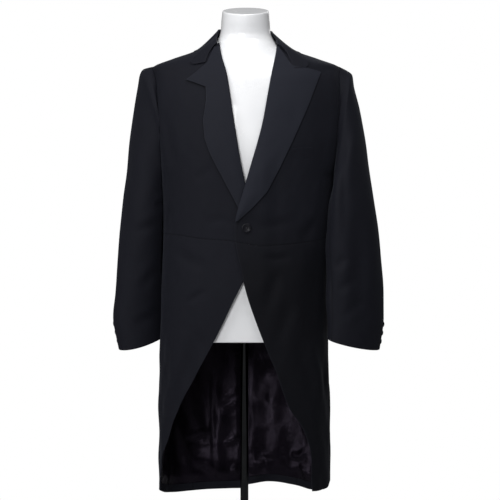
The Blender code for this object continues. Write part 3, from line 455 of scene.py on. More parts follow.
# Crumples of the linings, as (degrees round, height); a ridge stands out towards the pole
LEFT_LINING_CREASES = (
    Crease(((151.5, 0.530), (143.5, 0.524), (134.3, 0.536)), 0.007, 0.0046),
    Crease(((142.5, 0.503), (138.5, 0.494), (135.3, 0.481)), 0.006, 0.0040),
    Crease(((175.8, 0.501), (172.0, 0.508), (169.6, 0.512)), 0.007, 0.0040),
    Crease(((168.9, 0.480), (165.7, 0.485), (162.9, 0.483)), 0.006, 0.0034),
    Crease(((166.8, 0.689), (160.8, 0.585), (156.3, 0.481)), 0.017, 0.0020),
    Crease(((80.0, 0.560), (70.0, 0.580), (62.0, 0.560)), 0.009, 0.0016),
    Crease(((112.0, 0.700), (104.0, 0.600), (108.0, 0.500)), 0.016, 0.0018),
)
RIGHT_LINING_CREASES = (
    Crease(((-138.1, 0.570), (-150.2, 0.576), (-160.5, 0.585)), 0.007, 0.0044),
    Crease(((-145.0, 0.514), (-156.8, 0.506), (-163.4, 0.490), (-166.8, 0.471)), 0.009, 0.0056),
    Crease(((-169.9, 0.552), (-174.0, 0.559), (-177.1, 0.572)), 0.006, 0.0038),
    Crease(((-174.6, 0.478), (-176.1, 0.491), (-178.0, 0.505)), 0.006, 0.0036),
    Crease(((-166.1, 0.689), (-164.7, 0.584), (-166.8, 0.480)), 0.016, 0.0020),
    Crease(((-161.7, 0.735), (-161.9, 0.585), (-162.8, 0.473)), 0.0050, -0.0016),
    Crease(((-167.4, 0.626), (-172.9, 0.640), (-177.6, 0.649)), 0.007, 0.0034),
    Crease(((-168.7, 0.654), (-173.5, 0.668), (-176.7, 0.682)), 0.006, 0.0028),
    Crease(((-84.0, 0.540), (-74.0, 0.565), (-64.0, 0.550)), 0.009, 0.0040),
    Crease(((-110.0, 0.690), (-106.0, 0.590), (-111.0, 0.500)), 0.016, 0.0044),
)


def off_line(x: Array, z: Array, line: Places, side: Side) -> Array:
    """Distances of places from a lapel's outline of (height, x) corners, less than 0 inside it."""
    nearest = np.full(np.shape(x), 1e9)
    for (az, ax), (bz, bx) in zip(line, line[1:]):
        run = (bx - ax) ** 2 + (bz - az) ** 2
        t = np.clip(((x - ax) * (bx - ax) + (z - az) * (bz - az)) / run, 0, 1)
        nearest = np.minimum(nearest, np.hypot(x - ax - (bx - ax) * t, z - az - (bz - az) * t))
    corners = np.array(line)
    edge = np.interp(z, corners[:, 0], corners[:, 1])
    return np.where(side.value * (x - edge) < 0, -nearest, nearest)


class CoatSurface:
    """The surface that the coat's outer face follows, with the folds it keeps."""

    RADIUS = 0.19

    def __init__(self) -> None:
        """Reads the tables."""
        self.body = SmoothTable(BODY)
        self.hem, self.waist = SmoothTable(HEM), SmoothTable(WAIST)
        self.edges = {Side.LEFT: SmoothTable(LEFT_EDGE), Side.RIGHT: SmoothTable(RIGHT_EDGE)}
        self.side_seam, self.back_seam = SmoothTable(SIDE_SEAM), SmoothTable(BACK_SEAM)
        self.lift = SmoothTable(LEFT_LIFT)
        self.soft = Ripples(seed=11, shortest=0.055, longest=0.16, upright=0.62)
        self.fine = Ripples(seed=4, shortest=0.018, longest=0.045, upright=0.35)

    def place(self, angle: Array, z: Array) -> Array:
        """Points of the plain surface."""
        angle, z = np.broadcast_arrays(angle, z)
        half, front, back, side_y, centre, power = np.moveaxis(self.body.at(z), -1, 0)
        turn = np.radians(angle)
        x = centre + half * signed_power(np.sin(turn), 2 / power)
        ahead = signed_power(np.cos(turn), 2 / power)
        reach = np.where(ahead > 0, front + side_y, back - side_y)
        return np.stack([x, side_y - reach * ahead, z], -1)

    def normal(self, angle: Array, z: Array) -> Array:
        """Outward directions of the plain surface."""
        round_it = self.place(angle + 1.5, z) - self.place(angle - 1.5, z)
        low, high = np.maximum(z - 0.004, 0.44), np.minimum(z + 0.004, NECKLINE)
        return unit(np.cross(round_it, self.place(angle, high) - self.place(angle, low)))

    def angle_of(self, x: Array, z: Array) -> Array:
        """Degrees round of the point on the front with this x."""
        half, _, _, _, centre, power = np.moveaxis(self.body.at(z), -1, 0)
        share = np.clip((x - centre) / half, -1, 1)
        return np.degrees(np.arcsin(signed_power(share, power / 2)))

    def side_x(self, side: Side, y: Array, z: Array) -> Array:
        """How far out to a side the plain surface lies."""
        half, front, back, side_y, centre, power = np.moveaxis(self.body.at(z), -1, 0)
        reach = np.where(y < side_y, front + side_y, back - side_y)
        share = np.minimum(1.0, np.abs(y - side_y) / reach)
        return centre + side.value * half * (1 - share**power) ** (1 / power)

    def skin_x(self, side: Side, y: Array, z: Array) -> Array:
        """How far out to a side the surface lies with its folds."""
        x = self.side_x(side, y, z)
        front = np.abs(self.angle_of(x, z))
        angle = side.value * np.where(y < self.body.at(z)[..., 3], front, 180 - front)
        lean = np.maximum(0.5, np.abs(self.normal(angle, z)[..., 0]))
        return x + side.value * self.relief(angle, z) / lean

    def height(self, level: Array, angle: Array) -> Array:
        """Heights of a level of the cloth, which follows the hem and the waist seam.

        Args:
            level: From HEM_LEVEL through WAIST_LEVEL and CHEST_ROW up to the neckline.
            angle: Degrees round.

        Returns:
            Heights on the coat.
        """
        hem, waist = self.hem.one(angle), self.waist.one(angle)
        tail = hem + (waist - hem) * (level - HEM_LEVEL) / (WAIST_LEVEL - HEM_LEVEL)
        ribs = waist + (CHEST_ROW - waist) * (level - WAIST_LEVEL) / (CHEST_ROW - WAIST_LEVEL)
        return np.where(level < WAIST_LEVEL, tail, np.where(level < CHEST_ROW, ribs, level))

    def relief(self, angle: Array, z: Array) -> Array:
        """How far the folds move the cloth out from the plain surface."""
        x = np.radians(angle) * self.RADIUS
        calm = 1 - 0.85 * eased((z - 1.30) / 0.10)
        loose = 0.0006 + 0.0016 * eased((0.98 - z) / 0.35)
        total = loose * self.soft.height(x, z) + 0.00022 * self.fine.height(x, z)
        for crease in BODY_CREASES:
            total = total + crease.height(angle, z, self.RADIUS)
        total = total * calm
        for crease in CHEST_DRAPE:
            total = total + crease.height(angle, z, self.RADIUS)
        return total

    def lapped(self, x: Array, z: Array) -> Array:
        """How far the left front stands off where it laps over the right."""
        return self.lift.one(z) * eased((0.075 - x) / 0.039)

    def front_edge(self, side: Side) -> Callable[[Array], Array]:
        """Degrees round of a front edge by height."""
        return lambda z: self.angle_of(self.edges[side].one(z), z)

    def seam(self, side: Side, table: SmoothTable) -> Callable[[Array], Array]:
        """Degrees round of a seam by height."""
        return lambda z: side.value * table.one(z)

    def centre_back(self, side: Side) -> Callable[[Array], Array]:
        """Degrees round of the centre back by height, parted at the vent."""

        def angle(z: Array) -> Array:
            rows = self.body.at(z)
            share = 0.006 * eased((0.573 - z) / 0.113) / rows[..., 0]
            return side.value * (180 - np.degrees(np.arcsin(share ** (rows[..., 5] / 2))))

        return angle

    def settled(self, level: Array, edge: Callable[[Array], Array], guess: float) -> Array:
        """Degrees round where each level meets an edge."""
        angle = np.full(np.shape(level), float(guess))
        for _ in range(6):
            angle = edge(self.height(level, angle))
        return angle


@dataclass
class Cloth:
    """Rows of points of a piece of cloth, with what its finish reads."""

    points: Array
    outward: Array
    borders: tuple[Border, Border, Border, Border]
    seam_dip: float = 0.0004
    edge_dip: float = 0.0003
    across: Array = field(init=False)
    along: Array = field(init=False)
    to_seam: Array = field(init=False)
    to_edge: Array = field(init=False)
    off_lapel: Array = field(init=False)

    def __post_init__(self) -> None:
        """Measures the piece and lets its seams and edges sink a little."""
        steps = np.linalg.norm(np.diff(self.points, axis=1), axis=2)
        self.across = np.concatenate([np.zeros((len(steps), 1)), np.cumsum(steps, 1)], 1)
        rises = np.linalg.norm(np.diff(self.points, axis=0), axis=2)
        self.along = np.concatenate([np.zeros((1, rises.shape[1])), np.cumsum(rises, 0)], 0)
        gaps = (
            self.across,
            self.across[:, -1:] - self.across,
            self.along,
            self.along[-1:] - self.along,
        )
        self.to_seam = np.full(self.across.shape, 0.05)
        self.to_edge = np.full(self.across.shape, 0.05)
        self.off_lapel = np.zeros(self.across.shape)
        for gap, border in zip(gaps, self.borders):
            if border is Border.SEWN:
                self.to_seam = np.minimum(self.to_seam, gap)
            elif border is Border.FREE:
                self.to_edge = np.minimum(self.to_edge, gap)
        sunk = self.seam_dip * np.exp(-((self.to_seam / 0.0017) ** 2))
        sunk += self.edge_dip * np.exp(-((self.to_edge / 0.0012) ** 2))
        self.points = self.points - self.outward * sunk[..., None]


@dataclass(frozen=True)
class Cut:
    """How a piece was cut and hangs."""

    width: float
    length: float
    area: float
    held: str
    rests_on: tuple[str, ...] = ()


def grid_mesh(name: str, points: Array) -> tuple[bpy.types.Mesh, Array, Array]:
    """A grid whose vertices are moved to the given places.

    Args:
        name: The mesh's name.
        points: Rows and columns of places.

    Returns:
        The mesh, and the row and the column of each of its vertices.
    """
    rows, columns = points.shape[:2]
    builder = bmesh.new()
    bmesh.ops.create_grid(builder, x_segments=columns - 1, y_segments=rows - 1, size=1.0)
    mesh = bpy.data.meshes.new(name)
    builder.to_mesh(mesh)
    builder.free()
    flat = np.empty(len(mesh.vertices) * 3)
    mesh.vertices.foreach_get("co", flat)
    flat = flat.reshape(-1, 3)
    low, high = flat.min(0), flat.max(0)
    column = np.rint((flat[:, 0] - low[0]) / (high[0] - low[0]) * (columns - 1)).astype(int)
    row = np.rint((flat[:, 1] - low[1]) / (high[1] - low[1]) * (rows - 1)).astype(int)
    mesh.vertices.foreach_set("co", points[row, column].ravel())
    mesh.update()
    return mesh, row, column


def linked(name: str, mesh: bpy.types.Mesh) -> bpy.types.Object:
    """A new object at the origin."""
    obj = bpy.data.objects.new(name, mesh)
    bpy.context.scene.collection.objects.link(obj)
    return obj


def joined_to_frame(obj: bpy.types.Object, nodes: Sequence[str]) -> None:
    """Makes a finished piece ride on the root body and stand for its CAD nodes."""
    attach(obj, "root")
    if nodes:
        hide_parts(*nodes)
    logger.info("%s: %d faces", obj.name, len(obj.data.polygons))


def cloth_piece(
    name: str,
    cloth: Cloth,
    finish: bpy.types.Material,
    thickness: float,
    trim: Callable[[bmesh.types.BMesh], None] | None = None,
) -> bpy.types.Object:
    """Args:
        name: The piece's name, and with "_cloth" taken off, its CAD node's.
        cloth: The outer face.
        finish: Its material.
        thickness: Of the wall, which goes inwards.
        trim: Cuts holes in the mesh before it gets its wall.

    Returns:
        The finished object.
    """
    mesh, row, column = grid_mesh(name, cloth.points)
    loops = np.empty(len(mesh.loops), int)
    mesh.loops.foreach_get("vertex_index", loops)
    places = np.stack([cloth.across[row, column], cloth.along[row, column]], -1)
    layer = mesh.uv_layers.new(name="Weave")
    layer.data.foreach_set("uv", places[loops].ravel())
    fields = (("seam", cloth.to_seam), ("edge", cloth.to_edge), ("lapel", cloth.off_lapel))
    for word, values in fields:
        attribute = mesh.attributes.new(word, "FLOAT", "POINT")
        attribute.data.foreach_set("value", values[row, column].ravel())
    middle = mesh.polygons[len(mesh.polygons) // 2]
    first = middle.vertices[0]
    if Vector(cloth.outward[row[first], column[first]]).dot(middle.normal) < 0:
        mesh.flip_normals()
    if trim is not None:
        builder = bmesh.new()
        builder.from_mesh(mesh)
        trim(builder)
        builder.to_mesh(mesh)
        builder.free()
    mesh.shade_smooth()
    mesh.materials.append(finish)
    obj = linked(name, mesh)
    wall = obj.modifiers.new("wall", "SOLIDIFY")
    wall.thickness, wall.offset, wall.use_rim = thickness, -1.0, True
    rim = obj.modifiers.new("soft_rim", "BEVEL")
    rim.width, rim.segments, rim.limit_method = thickness * 0.3, 2, "ANGLE"
    rim.angle_limit = radians(50)
    joined_to_frame(obj, [name.removesuffix("_cloth")])
    return obj


class NodeTree:
    """Shader nodes of one tree, each made and linked in a line."""

    def __init__(self, tree: bpy.types.NodeTree) -> None:
        """Starts on a tree."""
        self.tree = tree

    def add(self, kind: str, inputs: dict | None = None, **settings: object) -> bpy.types.Node:
        """A node with its settings, and each input set or linked.

        Args:
            kind: The node type after "ShaderNode".
            inputs: Input names or numbers with a value or an output socket.
            **settings: The node's own properties.

        Returns:
            The node.
        """
        node = self.tree.nodes.new("ShaderNode" + kind)
        for key, value in settings.items():
            setattr(node, key, value)
        for key, value in (inputs or {}).items():
            if isinstance(value, bpy.types.NodeSocket):
                self.tree.links.new(value, node.inputs[key])
            else:
                node.inputs[key].default_value = value
        return node

    def math(self, operation: str, *values: object) -> bpy.types.NodeSocket:
        """The result of a Math node."""
        return self.add("Math", dict(enumerate(values)), operation=operation).outputs[0]

    def effect(
        self, group: bpy.types.NodeTree, place: bpy.types.NodeSocket, **values: float
    ) -> bpy.types.bpy_prop_collection:
        """A shared node group put in.

        Args:
            group: The node group.
            place: What its Place input reads.
            **values: Its other inputs, with spaces as underlines.

        Returns:
            The group's outputs.
        """
        node = self.add("Group", {}, node_tree=group)
        self.tree.links.new(place, node.inputs["Place"])
        for key, value in values.items():
            node.inputs[key.replace("_", " ")].default_value = value
        return node.outputs

    def wire(
        self,
        shader: bpy.types.Node,
        colour: bpy.types.NodeSocket,
        rough: bpy.types.NodeSocket,
        bump: bpy.types.Node,
    ) -> None:
        """Links what every finish has into its shader."""
        self.tree.links.new(colour, shader.inputs["Base Color"])
        self.tree.links.new(rough, shader.inputs["Roughness"])
        self.tree.links.new(bump.outputs["Normal"], shader.inputs["Normal"])

    def span(
        self, value: object, low: float, high: float, to_low: float, to_high: float
    ) -> bpy.types.NodeSocket:
        """A value moved from one range to another, and kept inside it."""
        inputs = {"Value": value, 1: low, 2: high, 3: to_low, 4: to_high}
        return self.add("MapRange", inputs, clamp=True).outputs[0]

    def tint(self, factor: object, first: object, second: object) -> bpy.types.NodeSocket:
        """A mix of two colours."""
        node = self.add("Mix", {0: factor}, data_type="RGBA")
        for number, value in ((6, first), (7, second)):
            if isinstance(value, bpy.types.NodeSocket):
                self.tree.links.new(value, node.inputs[number])
            else:
                node.inputs[number].default_value = (*value, 1.0)
        return node.outputs[2]


VECTOR, FLOAT = "NodeSocketVector", "NodeSocketFloat"


class Effects:
    """Node groups that several finishes share, each built once."""

    @staticmethod
    def _group(name: str, inputs: Sequence[tuple[str, str]], outputs: Sequence[str]) -> tuple:
        """A new group with its sockets, ready for its nodes."""
        tree = bpy.data.node_groups.new(name, "ShaderNodeTree")
        for word, kind in inputs:
            tree.interface.new_socket(word, in_out="INPUT", socket_type=kind)
        for word in outputs:
            tree.interface.new_socket(word, in_out="OUTPUT", socket_type=FLOAT)
        book = NodeTree(tree)
        entry, leave = tree.nodes.new("NodeGroupInput"), tree.nodes.new("NodeGroupOutput")
        return tree, book, entry.outputs, leave.inputs

    def __init__(self) -> None:
        """Builds the groups."""
        self.weave = self._twill()
        # wear gives painted shade at seams and a painted shadow beside lapels, as well as real edge
        # wear
        self.wear = self._wear()
        self.stitch = self._stitch()
        self.mottle = self._mottle()

    def _twill(self) -> bpy.types.NodeTree:
        """Diagonal ribs of a twill, with the threads that cross them."""
        tree, book, given, out = self._group(
            "twill_weave",
            (("Place", VECTOR), ("Ribs per metre", FLOAT)),
            ("Rib", "Thread"),
        )
        parts = book.add("SeparateXYZ", {0: given["Place"]}).outputs
        wander = book.add("TexNoise", {"Vector": given["Place"], "Scale": 90.0, "Detail": 2.0})
        sway = book.math("MULTIPLY", wander.outputs["Fac"], 0.0012)
        slant = book.math("ADD", book.math("ADD", parts[0], parts[1]), sway)
        rate = book.math("MULTIPLY", given["Ribs per metre"], 2 * pi)
        rib = book.math("SINE", book.math("MULTIPLY", slant, rate))
        cross = book.math("SINE", book.math("MULTIPLY", parts[1], book.math("MULTIPLY", rate, 1.9)))
        thread = book.math("MULTIPLY_ADD", cross, 0.5, 0.5)
        book.tree.links.new(book.math("MULTIPLY_ADD", rib, 0.5, 0.5), out["Rib"])
        book.tree.links.new(thread, out["Thread"])
        return tree

    def _wear(self) -> bpy.types.NodeTree:
        """Painted shade at seams and beside a lapel's edge, and edges that read a little worn."""
        tree, book, given, out = self._group(
            "seam_shade_and_edge_wear", (("Place", VECTOR),),
            ("Seam shade", "Edge wear", "Painted lapel shadow"),
        )
        lapel = book.add("Attribute", attribute_name="lapel").outputs["Fac"]
        off = book.math("ABSOLUTE", book.math("SUBTRACT", lapel, 1.0))
        book.tree.links.new(book.span(off, 0.0006, 0.0034, 1.0, 0.0), out["Painted lapel shadow"])
        seam = book.add("Attribute", attribute_name="seam").outputs["Fac"]
        edge = book.add("Attribute", attribute_name="edge").outputs["Fac"]
        patches = book.add("TexNoise", {"Vector": given["Place"], "Scale": 38.0, "Detail": 3.0})
        worn = book.math("MULTIPLY", book.span(edge, 0.0, 0.0035, 1.0, 0.0), patches.outputs["Fac"])
        book.tree.links.new(book.span(seam, 0.0004, 0.0024, 1.0, 0.0), out["Seam shade"])
        book.tree.links.new(worn, out["Edge wear"])
        return tree

    def _stitch(self) -> bpy.types.NodeTree:
        """Small pick stitches in a row, a few millimetres in from a free edge."""
        tree, book, given, out = self._group(
            "pick_stitches",
            (("Place", VECTOR), ("Inset", FLOAT), ("Pitch", FLOAT)),
            ("Stitch",),
        )
        edge = book.add("Attribute", attribute_name="edge").outputs["Fac"]
        off = book.math("ABSOLUTE", book.math("SUBTRACT", edge, given["Inset"]))
        row = book.span(off, 0.0002, 0.0006, 1.0, 0.0)
        parts = book.add("SeparateXYZ", {0: given["Place"]}).outputs
        walk = book.math("DIVIDE", book.math("ADD", parts[0], parts[1]), given["Pitch"])
        dash = book.span(book.math("FRACT", walk), 0.30, 0.36, 1.0, 0.0)
        book.tree.links.new(book.math("MULTIPLY", row, dash), out["Stitch"])
        return tree

    def _mottle(self) -> bpy.types.NodeTree:
        """Slow and fine unevenness over a surface, each about 0 to 1."""
        tree, book, given, out = self._group(
            "mottle",
            (("Place", VECTOR), ("Slow", FLOAT), ("Fine", FLOAT)),
            ("Patches", "Specks"),
        )
        place = given["Place"]
        slow = book.add("TexNoise", {"Vector": place, "Scale": given["Slow"], "Detail": 4.0})
        fine = book.add("TexNoise", {"Vector": place, "Scale": given["Fine"], "Detail": 3.0})
        book.tree.links.new(slow.outputs["Fac"], out["Patches"])
        book.tree.links.new(fine.outputs["Fac"], out["Specks"])
        return tree


def new_material(name: str) -> tuple[bpy.types.Material, NodeTree, bpy.types.Node]:
    """A material with its tree and its Principled shader."""
    material = bpy.data.materials.new(name)
    material.use_nodes = True
    book = NodeTree(material.node_tree)
    return material, book, material.node_tree.nodes["Principled BSDF"]


@dataclass(frozen=True)
class WorstedFinish:
    """Fine worsted twill, matt, slight nap, with painted shade at seams, beside lapels, in
    stitches.
    """

    name: str = "worsted_twill"
    dark: tuple[float, float, float] = (0.0052, 0.0055, 0.0088)
    light: tuple[float, float, float] = (0.0080, 0.0085, 0.0131)
    ribs: float = 1150.0
    roughness: float = 0.74
    sheen: float = 0.04
    specular: float = 0.11
    shaded: float = 0.0
    shade_dark: float = 0.22
    painted_shade_dark: float = 0.35
    worn_light: float = 1.5

    def build(self, effects: Effects) -> bpy.types.Material:
        """Makes the material.

        Args:
            effects: The shared node groups.

        Returns:
            The finished material.
        """
        material, book, shader = new_material(self.name)
        coords = book.add("TexCoord").outputs
        weave = book.effect(effects.weave, coords["UV"], Ribs_per_metre=self.ribs)
        mottle = book.effect(effects.mottle, coords["Object"], Slow=9.0, Fine=700.0)
        # wear: painted seam shade and painted lapel shadow, and real edge wear
        wear = book.effect(effects.wear, coords["Object"])
        stitch = book.effect(effects.stitch, coords["UV"], Inset=0.0032, Pitch=0.006)
        tone = book.math("MULTIPLY_ADD", mottle["Patches"], 0.55, 0.05)
        tone = book.math("MULTIPLY_ADD", weave["Rib"], 0.22, tone)
        tone = book.math("MULTIPLY_ADD", mottle["Specks"], 0.25, tone)
        colour = book.tint(tone, self.dark, self.light)
        # Painted shade: the lower front darkens towards shade_dark of its dark tone, faded by
        # height and depth
        if self.shaded:
            parts = book.add("SeparateXYZ", {"Vector": coords["Object"]}).outputs
            low = book.span(parts["Z"], *SHADE_HEIGHTS, self.shaded, 0.0)
            front = book.span(parts["Y"], *SHADE_DEPTHS, 1.0, 0.0)
            painted_front_shade = tuple(part * self.shade_dark for part in self.dark)
            colour = book.tint(book.math("MULTIPLY", low, front), colour, painted_front_shade)
        # pressed is the painted shade colour for seams, the gap beside a lapel's edge and stitch
        # dimples
        pressed = tuple(part * self.painted_shade_dark for part in self.dark)
        colour = book.tint(book.math("MULTIPLY", wear["Seam shade"], 0.40), colour, pressed)
        colour = book.tint(book.math("MULTIPLY", wear["Painted lapel shadow"], 0.85), colour, pressed)
        worn = tuple(part * self.worn_light for part in self.light)
        colour = book.tint(book.math("MULTIPLY", wear["Edge wear"], 0.5), colour, worn)
        # Painted shade in the dimples of the pick stitches
        colour = book.tint(book.math("MULTIPLY", stitch["Stitch"], 0.6), colour, pressed)
        rough = book.math("MULTIPLY_ADD", mottle["Patches"], 0.16, self.roughness - 0.08)
        rough = book.math("MULTIPLY_ADD", wear["Edge wear"], -0.12, rough)
        height = book.math("MULTIPLY_ADD", weave["Thread"], 0.35, weave["Rib"])
        height = book.math("MULTIPLY_ADD", mottle["Specks"], 0.8, height)
        height = book.math("MULTIPLY_ADD", stitch["Stitch"], -2.5, height)
        bump = book.add("Bump", {"Height": height, "Strength": 0.35, "Distance": 0.00012})
        book.wire(shader, colour, rough, bump)
        shader.inputs["Specular IOR Level"].default_value = self.specular
        shader.inputs["Sheen Weight"].default_value = self.sheen
        shader.inputs["Sheen Roughness"].default_value = 0.45
        shader.inputs["Sheen Tint"].default_value = (0.55, 0.60, 0.75, 1.0)
        return material


@dataclass(frozen=True)
class SatinFinish:
    """Purple-black lining satin, smooth, with fine crumples that catch the light."""

    name: str = "lining_satin"
    dark: tuple[float, float, float] = (0.0026, 0.0023, 0.0030)
    light: tuple[float, float, float] = (0.0054, 0.0038, 0.0070)
    ribs: float = 2600.0
    roughness: float = 0.24

    def build(self, effects: Effects) -> bpy.types.Material:
        """Makes the material.

        Args:
            effects: The shared node groups.

        Returns:
            The finished material.
        """
        material, book, shader = new_material(self.name)
        coords = book.add("TexCoord").outputs
        weave = book.effect(effects.weave, coords["UV"], Ribs_per_metre=self.ribs)
        mottle = book.effect(effects.mottle, coords["Object"], Slow=16.0, Fine=160.0)
        wear = book.effect(effects.wear, coords["Object"])
        colour = book.tint(mottle["Patches"], self.dark, self.light)
        # Painted shade along the lining's seams
        colour = book.tint(wear["Seam shade"], colour, (0.002, 0.0016, 0.0026))
        rough = book.math("MULTIPLY_ADD", mottle["Patches"], 0.20, self.roughness - 0.10)
        height = book.math("MULTIPLY_ADD", mottle["Specks"], 3.0, weave["Rib"])
        height = book.math("MULTIPLY_ADD", mottle["Patches"], 10.0, height)
        bump = book.add("Bump", {"Height": height, "Strength": 0.5, "Distance": 0.00018})
        book.wire(shader, colour, rough, bump)
        shader.inputs["Specular IOR Level"].default_value = 0.11
        shader.inputs["Specular Tint"].default_value = (0.86, 0.72, 1.0, 1.0)
        return material


@dataclass(frozen=True)
class HardFinish:
    """A hard, smooth finish: the form's shell, polished steel or a button."""

    name: str
    dark: tuple[float, float, float]
    light: tuple[float, float, float]
    roughness: float
    metallic: float = 0.0
    coat: float = 0.0
    slow: float = 14.0
    fine: float = 420.0
    relief: float = 0.00002
    specular: float = 0.5

    def build(self, effects: Effects) -> bpy.types.Material:
        """Makes the material.

        Args:
            effects: The shared node groups.

        Returns:
            The finished material.
        """
        material, book, shader = new_material(self.name)
        place = book.add("TexCoord").outputs["Object"]
        mottle = book.effect(effects.mottle, place, Slow=self.slow, Fine=self.fine)
        colour = book.tint(mottle["Patches"], self.dark, self.light)
        rough = book.math("MULTIPLY_ADD", mottle["Patches"], 0.10, self.roughness - 0.05)
        rough = book.math("MULTIPLY_ADD", mottle["Specks"], 0.04, rough)
        bump = book.add(
            "Bump", {"Height": mottle["Specks"], "Strength": 0.25, "Distance": self.relief}
        )
        book.wire(shader, colour, rough, bump)
        shader.inputs["Metallic"].default_value = self.metallic
        shader.inputs["Specular IOR Level"].default_value = self.specular
        shader.inputs["Coat Weight"].default_value = self.coat
        shader.inputs["Coat Roughness"].default_value = 0.06
        return material


@dataclass
class Wardrobe:
    """Every finish, built once."""

    effects: Effects = field(default_factory=Effects)

    def __post_init__(self) -> None:
        """Builds the materials."""
        self.worsted = WorstedFinish().build(self.effects)
        # Both lapel facing finishes are lighter copies of the worsted with painted light, the
        # wearer's left one the more
        self.facings = {
            Side.LEFT: WorstedFinish(
                "worsted_facing_left",
                dark=(0.0112, 0.0121, 0.0180), light=(0.0158, 0.0172, 0.0248),
            ).build(self.effects),
            Side.RIGHT: WorstedFinish(
                "worsted_facing_right",
                dark=(0.0094, 0.0101, 0.0150), light=(0.0132, 0.0143, 0.0206),
            ).build(self.effects),
        }
        # The wearer's left front and skirt carry painted shade on their lower front
        self.fronts = {
            Side.LEFT: WorstedFinish("worsted_left_front", shaded=0.62).build(self.effects),
            Side.RIGHT: self.worsted,
        }
        self.satin = SatinFinish().build(self.effects)
        self.shell = HardFinish(
            "form_shell", (0.80, 0.81, 0.83), (0.86, 0.865, 0.88), 0.24, coat=0.5
        ).build(self.effects)
        # The steel's near-black colour is a painted reflection of the dark coat interior round the
        # pole
        self.steel = HardFinish(
            "polished_steel", (0.050, 0.053, 0.056), (0.085, 0.088, 0.092), 0.09,
            metallic=1.0, slow=30.0,
        ).build(self.effects)
        self.horn = HardFinish(
            "button_horn", (0.004, 0.004, 0.006), (0.010, 0.010, 0.014), 0.27,
            slow=160.0, specular=0.14,
        ).build(self.effects)
        self.thread = HardFinish(
            "button_thread", (0.010, 0.010, 0.014), (0.022, 0.022, 0.030), 0.75, fine=2400.0
        ).build(self.effects)
        self.floor = HardFinish(
            "studio_floor", (0.60, 0.60, 0.61), (0.64, 0.64, 0.65), 0.70, slow=1.5, fine=60.0
        ).build(self.effects)


